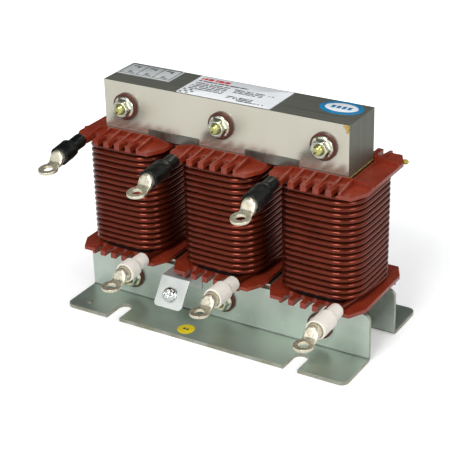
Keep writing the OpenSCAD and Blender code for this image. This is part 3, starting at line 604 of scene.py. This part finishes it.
def wire_path(coil):
    """The wire of one coil, from its start lead to its finish lead. A turn runs clockwise seen
    from above, along the left, back, right and front, with corner arcs (r cos a, r sin a), sides
    that bow outwards by bow sin(pi t), and a step down by the pitch, 3 t^2 - 2 t^3, through the
    front left corner. Each turn lies a little off its place, as wound by hand."""
    s = sizes()
    middle, half = coil_axis(coil)
    r = s.corner_r
    grow = s.wire_d / 2 + 0.00003
    tx, ty = half[0] + grow, half[1] + grow
    seat = middle[2] + half[2] + 0.0003
    arc = np.linspace(0, 1, 11)
    line = np.linspace(0, 1, 12)[1:-1, None]
    corners = np.array([[-1, 1], [1, 1], [1, -1], [-1, -1]])
    out = np.array([[0, 1], [1, 0], [0, -1], [-1, 0]])
    angle = math.pi - math.pi / 2 * (np.arange(4)[:, None] + arc)
    arcs = corners[:, None] * (tx - r, ty - r) + r * np.stack([np.cos(angle), np.sin(angle)], -1)
    ends, starts = arcs[:, -1], np.roll(arcs[:, 0], -1, 0)
    sides = ends[:, None] + line * (starts - ends)[:, None]
    sides = sides + s.bow * np.sin(math.pi * line) * out[:, None]
    turn = np.concatenate([arcs, sides], 1).reshape(-1, 2)
    per = len(turn)
    drop = np.concatenate([np.zeros(per * 3 // 4), ease(arc), np.ones(len(line))])
    rng = np.random.default_rng(7 + COILS.index(coil))
    sway = rng.normal(0, 0.00006, (s.turns, 3))
    level, at = np.divmod(np.arange((s.turns - 1) * per + per // 2 - len(line)), per)
    t = (at / per)[:, None]
    off = (1 - ease(t)) * sway[level] + ease(t) * sway[np.minimum(level + 1, s.turns - 1)]
    z = seat - s.first_drop - s.wire_pitch * (level + drop[at])
    turns = np.c_[middle[:2] + turn[at], z] + off * (0.6, 0.6, 1)
    first, final = Lead(coil, "start"), Lead(coil, "finish")
    top = seat - s.last_drop
    left = middle[0] - tx
    notch = [left, middle[1] - half[1] - 0.0026, top]
    rise = [left, middle[1] - ty + r, top]
    settle = [left, middle[1], (top + turns[0, 2]) / 2]
    in_barrel = 0.013
    places = (first.tip, -in_barrel), (first.foot, 0.004), (first.foot, -0.001)
    straight = [place + far * first.way for place, far in places]
    start = eased([*straight, notch, rise, settle, turns[0]])
    last = turns[-1]
    bend = [last[0] + 0.75 * (final.foot[0] - last[0]), middle[1] - ty, last[2]]
    straight = [final.foot + 0.003 * final.way, final.tip - in_barrel * final.way]
    end = eased([last, last + (0, -0.5 * r, 0), bend, *straight])
    return np.vstack([start[:-1], turns, end[1:]])


def sleeve_shape(coil, kind):
    """A sleeve as a surface of revolution about its lead: narrow over the wire, then swelling by
    3 t^2 - 2 t^3 to its width over the lug's barrel. Shallow folds a sin(n a) gather at the swell,
    and the whole sleeve is pressed a little oval."""
    at = Lead(coil, kind)
    black = kind == "start"
    narrow, wide, end, wire = at.narrow_r, at.wide_r, at.end, 0.0021
    bore_r = at.barrel_r + 0.0002
    barrel = at.run - 0.0221
    outer = np.linspace(0.0006, end - 0.0008, 44)
    swell = ease((outer - 0.0095) / 0.0035)
    crease = 0.0003 * np.exp(-(((outer - 0.0104) / 0.0005) ** 2))
    r_out = narrow + (wide - narrow) * swell - crease
    lip = np.array([[narrow - 0.0009, 0.0], [narrow - 0.0003, 0.0001]])
    rim = np.array([[wide - 0.0003, end - 0.0002], [wide - 0.0009, end], [bore_r + 0.0003, end - 0.0002]])
    bore = np.array([[bore_r, end - 0.002], [bore_r, barrel], [wire, barrel - 0.0001], [wire, 0.0006]])
    profile = np.vstack([lip, np.stack([r_out, outer], -1), rim, bore])
    outside = np.arange(len(profile)) < len(lip) + len(outer)
    where = profile[:, 1]
    rng = np.random.default_rng(40 + 10 * COILS.index(coil) + black)
    phase = rng.uniform(0, 2 * math.pi, 4)
    amount = 0.00016 if black else 0.0001

    def folds(a, row):
        gather = np.exp(-(((where[row] - 0.0125) / 0.004) ** 2))
        soft = np.sin(3 * a + phase[0]) + 0.6 * np.sin(5 * a + phase[1] + 900 * where[row])
        oval = 0.00018 * np.cos(2 * a + phase[2]) * ease(where[row] / 0.01)
        return outside[row] * (amount * (0.35 + gather) * soft + oval - 0.0002)

    return solid(turned(profile, 56, folds), at.foot, at.side, at.up, at.way, loop=True)


def lug_shape(coil, kind):
    """A lug in two closed parts. The shank is a loft of superellipses |x/a|^n + |y/b|^n = 1 from
    the round barrel to the flat tongue, and its end in the sleeve is closed. The ring is a rounded
    rectangle turned about the hole's axis."""
    at = Lead(coil, kind)
    barrel, tongue_w, tongue_h = at.barrel_r, 0.0047, 0.00095
    s = np.array([-22, -21.9, -21.3, -13.5, -11.8, -11.2, -10.3, -9.2, -8, -6.8, -5.6, -4.4]) / 1000
    s = s[:, None]
    t = ease((s + 0.0114) / 0.0046)
    half_w, half_h = (barrel + (tongue - barrel) * t for tongue in (tongue_w, tongue_h))
    half_w[0] = half_h[0] = barrel - 0.0006
    power = 2 + 5 * t
    c, d = np.cos(circle(48)), np.sin(circle(48))
    x = half_w * np.sign(c) * np.abs(c) ** (2 / power)
    y = half_h * np.sign(d) * np.abs(d) ** (2 / power) - at.drop * t
    shank = np.stack(np.broadcast_arrays(x, y, s), -1)
    hole_r, ring_r = 0.00325, 0.0065
    ring = rounded(((ring_r + hole_r) / 2, 0) + SQUARE * ((ring_r - hole_r) / 2, tongue_h), 0.00035)
    return [
        solid(shank, at.tip, at.side, at.up, at.way),
        solid(turned(ring, 56), at.ring, at.side, at.way, at.up, loop=True),
    ]


def hexagon(a, across):
    """Distance from the middle to the edge of a hexagon, across its flats, at angle a:
    f / (2 cos(b)) with b the angle from the nearest flat's middle, softened at the corners."""
    b = np.mod(a, math.pi / 3) - math.pi / 6
    corner = across / math.sqrt(3) * 0.975
    return np.minimum(across / 2 / np.cos(b), corner)


def nut_shape(origin, height, across=0.0106, flange_r=0.0076, bore=0.0029):
    """A flange nut turned about its bolt: a thin round flange with a sloping top, a hexagon whose
    corners are cut by a cone at the far end, and a countersunk bore."""
    a = circle(96)
    six = hexagon(a, across)
    rim = [[flange_r - 0.0003, 0.0], [flange_r, 0.0003], [flange_r, 0.0009], [flange_r - 0.0004, 0.00125]]
    flange = turned(np.array([[bore, 0.0], *rim]), 96)
    slope = about_axis((flange_r + six[None]) / 2, a, 0.0017)
    z = np.array([0.0021, 0.0026, 0.0036, *(height - np.array([0.0012, 0.0007, 0.00035, 0]))])[:, None]
    cone = across / 2 + 0.0006 - np.maximum(z - (height - 0.0011), 0) * 0.5
    sides = about_axis(np.minimum(six, cone), a, z)
    face = height + 0.00005
    inside = [[across / 2 - 0.0003, face], [bore + 0.0005, face], [bore, height - 0.0005], [bore, 0.0006]]
    p = np.concatenate([flange, slope, sides, turned(np.array(inside), 96)])
    return solid(p, origin, RIGHT, UP, FRONT, loop=True)


def threaded(start, away, long, radius, pitch, depth, sides=40, per_turn=14):
    """A threaded rod about its axis: r = R - d |2 frac(z / p - a / 2 pi) - 1|^1.4, with both ends
    chamfered."""
    z = np.linspace(0, long, int(long / pitch * per_turn))[:, None]
    a = circle(sides)
    saw = np.abs(2 * np.mod(z / pitch - a / (2 * math.pi), 1) - 1) ** 1.4
    chamfer = radius - 0.0006 + np.minimum(z, long - z) * 1.2
    r = np.minimum(radius - depth * saw, chamfer)
    return solid(about_axis(r, a, z), start, RIGHT, np.cross(away, RIGHT), away)


def bolt_shapes(row):
    """Three bolts of a row: the threaded end in front, a plain shank and a hexagon head with a
    shallow domed face behind."""
    s = sizes()
    low, high = box(f"{row}_bolts")
    nut_seat = box(f"{row}_nuts")[1][1]
    z = (low[2] + high[2]) / 2
    shank_r, shank_l = 0.0029, high[1] - nut_seat - 0.0055
    shank = turned(np.array([[shank_r, 0.0], [shank_r, shank_l]]), 32)
    a = circle(96)
    rise = np.array([0.0, 0.0002, 0.003, 0.0034, 0.0037, 0.0039])[:, None]
    cone = 0.0056 - np.maximum(rise - 0.0029, 0) * 1.5
    r = np.minimum(hexagon(a, 0.01) - np.where(rise < 0.0001, 0.0003, 0), cone)
    head = np.vstack([about_axis(r, a, rise), about_axis(0.6 * r[-1:], a, 0.00397)])
    parts = []
    for coil in COILS:
        x = coil_axis(coil)[0][0]
        long = nut_seat - low[1] + 0.004
        parts.append(threaded((x, low[1], z), -FRONT, long, 0.003, s.thread_pitch, s.thread_depth))
        for shape, y in ((shank, nut_seat + 0.0035), (head, high[1] - 0.004)):
            parts.append(solid(shape, (x, y, z), RIGHT, UP, -FRONT))
    return parts


def screw_shapes():
    """The earth screw: a threaded shank and a pan head whose top, z = h - k r^4, is sunk by a
    cross |x| < w or |y| < w with sloping walls."""
    place, n = mount("earth_terminal")
    seat = place + n * 0.0011
    head_r, head_h, sides = 0.00475, 0.0029, 120
    share = np.linspace(1, 0.02, 30)[:, None]
    top = about_axis(head_r * share, circle(sides), head_h - 0.0014 * share**4)
    arm, width, sunk = 0.0026, 0.00052, 0.0015
    x, y = np.abs(top[..., 0]), np.abs(top[..., 1])
    near, far = np.minimum(x, y), np.maximum(x, y)
    cross = (1 - ease((near - width) / 0.0003)) * (1 - ease((far - arm) / 0.0005))
    top[..., 2] -= sunk * cross
    side = np.array([[0.003, 0.0], [0.0045, 0.0], [head_r, 0.0002], [0.00478, 0.001]])
    p = np.concatenate([turned(side, sides), top])
    head = solid(p, seat, RIGHT, np.cross(n, RIGHT), n)
    return [head, threaded(seat + n * 0.0003, -n, 0.0113, 0.0025, 0.0008, 0.0004)]


def plate(outline, z0, z1, r=0.00012):
    """A thin label from z0 to z1, its outline shrunk towards its middle by 0.3 r at the lower edge
    and by r at the upper one."""
    inward = unit(outline.mean(0) - outline) * r
    rows = ((0.3, z0), (0.0, z0 + 0.3 * (z1 - z0)), (0.3, z1 - 0.1 * (z1 - z0)), (1.0, z1))
    return surface(np.array([np.c_[outline + inward * k, np.full(len(outline), z)] for k, z in rows]))


def bars(rows, z0, z1):
    """Printed bars, each row (x, y, half length, half width), as thin closed boxes."""
    outlines = [row[:2] + SQUARE * row[2:] for row in rows]
    return [surface(np.stack([np.c_[p, np.full(4, z)] for z in (z0, z1)])) for p in outlines]


def ellipse(centre, half, sides=64):
    a = circle(sides)
    return centre + half * np.stack([np.cos(a), np.sin(a)], -1)


def footprint(name):
    """Middle and half size of a label's outline, and the height of its underside."""
    low, high = box(name)
    return (low + high)[:2] / 2, (high - low)[:2] / 2, low[2]


# Operators


class PieceOperator:
    bl_options = {"REGISTER", "UNDO"}


class REACTOR_OT_core(PieceOperator, bpy.types.Operator):
    """Finishes the laminated core, its air gap spacers and its keeper strips"""

    bl_idname = "reactor.core"
    bl_label = "Core"

    def execute(self, context):
        stacks = ["upper_yoke", "lower_yoke"] + [f"{c}_leg" for c in COILS]
        coat_nodes(stacks, steel_finish(), 0.00025)
        coat_nodes(["air_gap_spacers"], plain("gap spacer"))
        strips = ["left_keeper_strip", "right_keeper_strip"]
        coat_nodes(strips, plain("keeper strip"), sizes().edge_r)
        return {"FINISHED"}


class REACTOR_OT_varnish(PieceOperator, bpy.types.Operator):
    """Leaves a bead of dried varnish under the upper yoke's end and a drip at a flange's corner"""

    bl_idname = "reactor.varnish"
    bl_label = "Varnish"

    def execute(self, context):
        low, high = box("upper_yoke")
        y = np.linspace(low[1] + 0.0006, high[1] - 0.0006, 60)
        thick = 0.0003 + 0.00007 * np.sin(900 * y) + 0.00005 * np.sin(2300 * y)
        thick[[0, -1]] = 0.0001
        path = np.broadcast_arrays(high[0], y, low[2] + 0.0002)
        bead = swept(np.stack(path, -1), thick, 12)
        high = box("right_bobbin")[1]
        a = np.linspace(0.02, math.pi - 0.02, 20)
        r = np.stack([0.0017 * np.sin(a) * (1 + 0.25 * np.cos(a)), 0.003 * np.cos(a)], -1)
        side = unit(np.array([11.3, 6.0, 0.0]))
        across = np.cross(UP, side)
        middle, half = coil_axis("right")
        spot = (high[0] - 0.003, high[1] - 0.0057, middle[2] + half[2] + 0.0007)
        drip = solid(turned(r, 24), spot + 0.0007 * side, across, UP, side)
        piece("varnish_beads", [bead, drip], plain("dried varnish"), "insulation")
        return {"FINISHED"}


class REACTOR_OT_bobbins(PieceOperator, bpy.types.Operator):
    """Rounds and finishes the moulded bobbins"""

    bl_idname = "reactor.bobbins"
    bl_label = "Bobbins"

    def execute(self, context):
        coat_nodes([f"{c}_bobbin" for c in COILS], plain("bobbin"), sizes().moulded_r)
        return {"FINISHED"}


class REACTOR_OT_windings(PieceOperator, bpy.types.Operator):
    """Winds the outer layers and finishes the inner ones"""

    bl_idname = "reactor.windings"
    bl_label = "Windings"

    def execute(self, context):
        wire = plain("wire enamel")
        for coil in COILS:
            tube = swept(wire_path(coil), sizes().wire_d / 2)
            piece(f"{coil}_wire", [tube], wire, "wire", f"{coil}_outer_winding")
        coat_nodes([f"{c}_inner_winding" for c in COILS], wire)
        coat_nodes([f"{c}_wrap" for c in COILS], plain("insulation"))
        return {"FINISHED"}


class REACTOR_OT_sleeves(PieceOperator, bpy.types.Operator):
    """Shrinks the black and white sleeves over the leads"""

    bl_idname = "reactor.sleeves"
    bl_label = "Sleeves"

    def execute(self, context):
        looks = (
            ("start", "black_sleeve", plain("black sleeve")),
            ("finish", "white_sleeve", plain("white sleeve")),
        )
        for coil in COILS:
            for kind, look, material in looks:
                shape = sleeve_shape(coil, kind)
                piece(f"{coil}_{look}", [shape], material, look, f"{coil}_{kind}_sleeve")
        return {"FINISHED"}


class REACTOR_OT_lugs(PieceOperator, bpy.types.Operator):
    """Forms the tinned ring lugs"""

    bl_idname = "reactor.lugs"
    bl_label = "Lugs"

    def execute(self, context):
        tin = plain("tinned copper")
        for coil in COILS:
            for kind in ("start", "finish"):
                shape = lug_shape(coil, kind)
                piece(f"{coil}_{kind}_ring_lug", shape, tin, "tinned_copper", f"{coil}_{kind}_lug")
        return {"FINISHED"}


class REACTOR_OT_brackets(PieceOperator, bpy.types.Operator):
    """Finishes the foot brackets"""

    bl_idname = "reactor.brackets"
    bl_label = "Brackets"

    def execute(self, context):
        coat_nodes(["front_bracket", "rear_bracket"], zinc_finish())
        return {"FINISHED"}


class REACTOR_OT_fasteners(PieceOperator, bpy.types.Operator):
    """Cuts the bolts and flange nuts and finishes the washers and tubes"""

    bl_idname = "reactor.fasteners"
    bl_label = "Fasteners"

    def execute(self, context):
        gold = plain("yellow zinc")
        bright = plain("bright zinc")
        brown = plain("phenolic")
        for row in ("upper", "lower"):
            piece(f"{row}_core_bolts", bolt_shapes(row), gold, "yellow_zinc", f"{row}_bolts")
            low, high = box(f"{row}_nuts")
            z = (low[2] + high[2]) / 2
            tall = high[1] - low[1] - 0.00005
            nuts = [nut_shape((coil_axis(c)[0][0], high[1], z), tall) for c in COILS]
            piece(f"{row}_flange_nuts", nuts, bright, "bright_zinc", f"{row}_nuts")
            coat_nodes([f"{row}_washers"], brown, 0.0002)
            coat_nodes([f"{row}_bolt_tubes"], brown)
        return {"FINISHED"}


class REACTOR_OT_earth(PieceOperator, bpy.types.Operator):
    """Finishes the earth tab with its nut and washer and cuts its screw"""

    bl_idname = "reactor.earth"
    bl_label = "Earth tab"

    def execute(self, context):
        tab = plain("tab zinc")
        polished = plain("screw zinc")
        coat_nodes(["earth_tab"], tab, sizes().edge_r)
        coat_nodes(["earth_weld_nut"], tab, 0.0002)
        coat_nodes(["earth_clamp_washer"], polished, 0.0001)
        piece("earth_pan_screw", screw_shapes(), polished, "bright_zinc", "earth_screw", body="screw")
        return {"FINISHED"}


class REACTOR_OT_labels(PieceOperator, bpy.types.Operator):
    """Lays the nameplate, wiring label and stickers, with bars and lines for print"""

    bl_idname = "reactor.labels"
    bl_label = "Labels"

    def film(self, name, outline, z, material, slot, *nodes, lift=0.0):
        """A label's film on the height z, thicker by lift than the others."""
        piece(name, [plate(outline, z, z + sizes().label_t + lift)], material, slot, *nodes)

    def print_on(self, name, rows, z, material, slot):
        """Bars that stand a little proud of the film on the height z."""
        top = z + sizes().label_t
        piece(name, bars(rows, top - SINK, top + PROUD), material, slot)

    def nameplate(self, white, red, ink):
        """A heading bar, rows of small print and a check pattern for a seal."""
        mid, half, z = footprint("nameplate")
        outline = rounded(mid + SQUARE * (half - TRIM), LABEL_CORNER)
        self.film("nameplate_film", outline, z, white, "nameplate_film", "nameplate")

        def at(share, row):
            """A point at a share along the plate and a share down from its back."""
            return mid + half * (2 * share - 1, 1 - 2 * row)

        def lines(left, right, rows, height, seed):
            """Stand-ins for print: rows of bars of random lengths."""
            rng = np.random.default_rng(seed)
            x0, x1 = at(left, 0)[0], at(right, 0)[0]
            gap, shortest = 0.0003, 0.0006
            made = []
            for row in rows:
                edges = np.array([x0, *np.sort(rng.uniform(x0, x1, 7)), x1])
                for a, b in zip(edges[:-1] + gap, edges[1:] - gap):
                    if b - a > shortest:
                        made.append([(a + b) / 2, at(left, row)[1], (b - a) / 2, height * half[1]])
            return made

        heading = lines(0.04, 0.36, [0.155], 0.1, 3)
        small = (
            lines(0.04, 0.6, [0.27], 0.045, 4)
            + lines(0.04, 0.42, [0.38, 0.46, 0.54, 0.62, 0.7], 0.038, 5)
            + lines(0.47, 0.8, [0.4, 0.47, 0.54], 0.038, 6)
            + lines(0.83, 0.94, [0.42], 0.03, 7)
            + lines(0.49, 0.77, [0.76, 0.83], 0.042, 8)
            + lines(0.62, 0.91, [0.9], 0.042, 9)
        )
        check = 0.0009
        seal = [
            [*at(0.035 + 0.035 * i, 0.78 + 0.085 * j), check, check]
            for i in range(4) for j in range(3) if (i + j) % 2 == 0
        ]
        self.print_on("nameplate_heading", heading, z, red, "nameplate_film")
        self.print_on("nameplate_lines", small + seal, z, ink, "nameplate_film")

    def wiring_label(self, silver, ink):
        """A frame with three fields, each with four bars: x in mm, share of the depth, and half
        length and half width in mm."""
        mid, half, z = footprint("wiring_label")
        outline = rounded(mid + SQUARE * (half - TRIM), LABEL_CORNER)
        self.film("wiring_film", outline, z, silver, "silver_film", "wiring_label")
        w, d = half - (0.0016, 0.0018)
        marks = [[mid[0], mid[1] + side * d, w, wide] for side, wide in ((1, 0.0005), (-1, 0.0003))]
        marks += [[mid[0] + side * w, mid[1], 0.0003, d] for side in (-1, -1 / 3, 1 / 3, 1)]
        symbols = (-0.8, 0.62, 3, 0.6), (1.2, 0.4, 0.9, 0.7), (0, -0.55, 1.2, 0.7), (1.4, -0.78, 2.8, 0.4)
        for field in (-1, 0, 1):
            for x, share, long, wide in symbols:
                middle = mid + (field * 2 / 3 * w + x / 1000, share * d)
                marks.append([*middle, long / 1000, wide / 1000])
        self.print_on("wiring_symbols", marks, z, ink, "silver_film")

    def oval(self, blue, white):
        """A blue oval with a white field and four plain bars. The film lies a little off its
        CAD place, to the right."""
        mid, half, z = footprint("oval_sticker")
        mid, half = mid + (0.0016, 0.0), half * (0.98, 0.96)
        rim = ellipse(mid, half - TRIM)
        self.film("oval_rim", rim, z, blue, "blue_film", "oval_sticker", lift=-0.00001)
        self.film("oval_field", ellipse(mid, half * (0.76, 0.67)), z, white, "blue_film")
        marks = [[mid[0] + k * 0.0037, mid[1], 0.0013, 0.0021] for k in (-1.5, -0.5, 0.5, 1.5)]
        self.print_on("oval_marks", marks, z, blue, "blue_film")

    def dot(self, yellow, ink):
        """A yellow dot with two plain bars."""
        mid, half, z = footprint("dot_sticker")
        self.film("dot_film", ellipse(mid, half - TRIM), z, yellow, "yellow_film", "dot_sticker")
        marks = [[mid[0] + k * 0.0024, mid[1], 0.0009, 0.0011] for k in (-0.5, 0.5)]
        self.print_on("dot_marks", marks, z, ink, "yellow_film")

    def execute(self, context):
        names = "nameplate film", "silver film", "blue print", "yellow print", "grey ink", "red ink"
        white, silver, blue, yellow, ink, red = (plain(name) for name in names)
        self.nameplate(white, red, ink)
        self.wiring_label(silver, ink)
        self.oval(blue, white)
        self.dot(yellow, ink)
        return {"FINISHED"}


class REACTOR_OT_stage(PieceOperator, bpy.types.Operator):
    """Sets the pale floor, the soft lights and the camera"""

    bl_idname = "reactor.stage"
    bl_label = "Stage"

    def panel(self, name, material, middle, normal, half_w, half_h):
        """A flat rectangle about a point, facing along a normal, level along its width."""
        n = unit(np.array(normal))
        side = unit(np.cross(UP, n)) if abs(n[2]) < 0.99 else RIGHT
        rise = np.cross(n, side)
        corners = SQUARE * (half_w, half_h)
        p = middle + corners[:, :1] * side + corners[:, 1:] * rise
        obj = meshed(name, p, [[0, 1, 2, 3]], material)
        return obj

    def floor(self):
        """A white floor. For the camera it also glows, so that it is plain white further out."""
        pale, shader, place, _ = finish(
            "floor", [0.86] * 3, spread=0.01, scale=6, smooth=0.85, rough=0.95, grain=200,
            depth=1e-6, Emission_Color=(1, 1, 1, 1),
        )
        t = pale.node_tree
        seen = node(t, "LightPath").outputs["Is Camera Ray"]
        glow = span(t, away_from(t, place, (0, 0, 0)), 0.14, 0.42, 0.28, 0.8)
        t.links.new(calc(t, "MULTIPLY", seen, glow), shader.inputs["Emission Strength"])
        self.panel("floor", pale, (0, 0, -0.0002), (0, 0, 1), 3.0, 3.0)

    def cards(self):
        """Dark cards that show only in reflections on the metal."""
        dark = finish(
            "grey card", [0.04, 0.042, 0.04], spread=0.05, scale=4, smooth=0.9, rough=1,
            grain=50, depth=1e-6,
        )[0]
        for name, middle, normal, half_w, half_h in (
            ("back_card", (-0.55, 0.95, 1.0), (0.5, -0.85, -0.15), 1.7, 0.85),
            ("roof_card", (0.0, 0.0, 2.2), (0.0, 0.0, -1.0), 1.8, 1.8),
            ("side_card", (-1.5, -0.55, 1.15), (1.5, 0.55, -0.95), 0.7, 0.6),
        ):
            card = self.panel(name, dark, middle, normal, half_w, half_h)
            card.visible_camera = False
            card.visible_diffuse = False
            card.visible_shadow = False

    def world(self, scene):
        """White for the camera and in reflections, and softer as light."""
        scene.world = bpy.data.worlds.new("studio")
        scene.world.use_nodes = True
        t = scene.world.node_tree
        t.nodes.clear()
        rays = node(t, "LightPath").outputs
        seen = calc(t, "MAXIMUM", rays["Is Camera Ray"], rays["Is Glossy Ray"])
        clear = calc(t, "MAXIMUM", seen, rays["Is Transmission Ray"])
        white = node(t, "Background", Color=(1, 1, 1, 1), Strength=1.0).outputs[0]
        soft = node(t, "Background", Color=(0.96, 0.98, 1, 1), Strength=0.34).outputs[0]
        mix = node(t, "MixShader", Fac=clear, i1=soft, i2=white).outputs[0]
        node(t, "OutputWorld", Surface=mix)

    def lamps(self):
        """A key lamp in front, a small fill from the right and a wide top lamp."""
        aim = Vector((0, 0, 0.07))
        for name, spot, size, watts in (
            ("key", (0.08, -1.45, 1.32), 0.7, 22.0),
            ("fill", (1.3, -0.5, 0.75), 0.5, 6.5),
            ("top", (0.1, 0.1, 1.8), 1.0, 7.5),
        ):
            data = bpy.data.lights.new(name, "AREA")
            data.size = size
            data.energy = watts
            lamp = added(name, data)
            lamp.location = spot
            lamp.rotation_euler = (aim - Vector(spot)).to_track_quat("-Z", "Y").to_euler()

    def camera(self, scene):
        """The photograph's viewpoint: azimuth, elevation, roll and distance from a point."""
        data = bpy.data.cameras.new("camera")
        data.sensor_width = 36.0
        data.lens = 111.615
        data.clip_start, data.clip_end = 0.05, 20.0
        camera = added("camera", data)
        az, el, roll = np.radians((31.597, 25.9403, -1.4955))
        target, distance = (-0.009976, 0.0173, 0.062043), 0.936285
        back = np.array([math.sin(az) * math.cos(el), -math.cos(az) * math.cos(el), math.sin(el)])
        right = np.array([math.cos(az), math.sin(az), 0.0])
        up = np.cross(right, -back)
        x = math.cos(roll) * right + math.sin(roll) * up
        y = -math.sin(roll) * right + math.cos(roll) * up
        eye = target + distance * back
        camera.matrix_world = Matrix(np.vstack([np.c_[x, y, back, eye], [0, 0, 0, 1]]).tolist())
        scene.camera = camera

    def execute(self, context):
        self.floor()
        self.cards()
        self.world(context.scene)
        self.lamps()
        self.camera(context.scene)
        context.scene.view_settings.view_transform = "Standard"
        return {"FINISHED"}


STEPS = (
    REACTOR_OT_core, REACTOR_OT_varnish, REACTOR_OT_bobbins, REACTOR_OT_windings, REACTOR_OT_sleeves,
    REACTOR_OT_lugs, REACTOR_OT_brackets, REACTOR_OT_fasteners, REACTOR_OT_earth, REACTOR_OT_labels,
    REACTOR_OT_stage,
)


class REACTOR_PT_panel(bpy.types.Panel):
    bl_label = "Line reactor"
    bl_idname = "REACTOR_PT_panel"
    bl_space_type = "VIEW_3D"
    bl_region_type = "UI"
    bl_category = "Reactor"

    def draw(self, context):
        layout = self.layout
        for group in (context.scene.reactor_sizes, context.scene.reactor_colours):
            column = layout.column()
            for key in group.__annotations__:
                column.prop(group, key)
        for step in STEPS:
            layout.operator(step.bl_idname)


CLASSES = (ReactorSizes, ReactorColours, *STEPS, REACTOR_PT_panel)


def register():
    for cls in CLASSES:
        bpy.utils.register_class(cls)
    bpy.types.Scene.reactor_sizes = PointerProperty(type=ReactorSizes)
    bpy.types.Scene.reactor_colours = PointerProperty(type=ReactorColours)


def unregister():
    del bpy.types.Scene.reactor_colours
    del bpy.types.Scene.reactor_sizes
    for cls in reversed(CLASSES):
        bpy.utils.unregister_class(cls)


def main():
    register()
    for step in STEPS:
        area, name = step.bl_idname.split(".")
        getattr(getattr(bpy.ops, area), name)()
    bpy.context.view_layer.update()


if __name__ == "__main__":
    main()
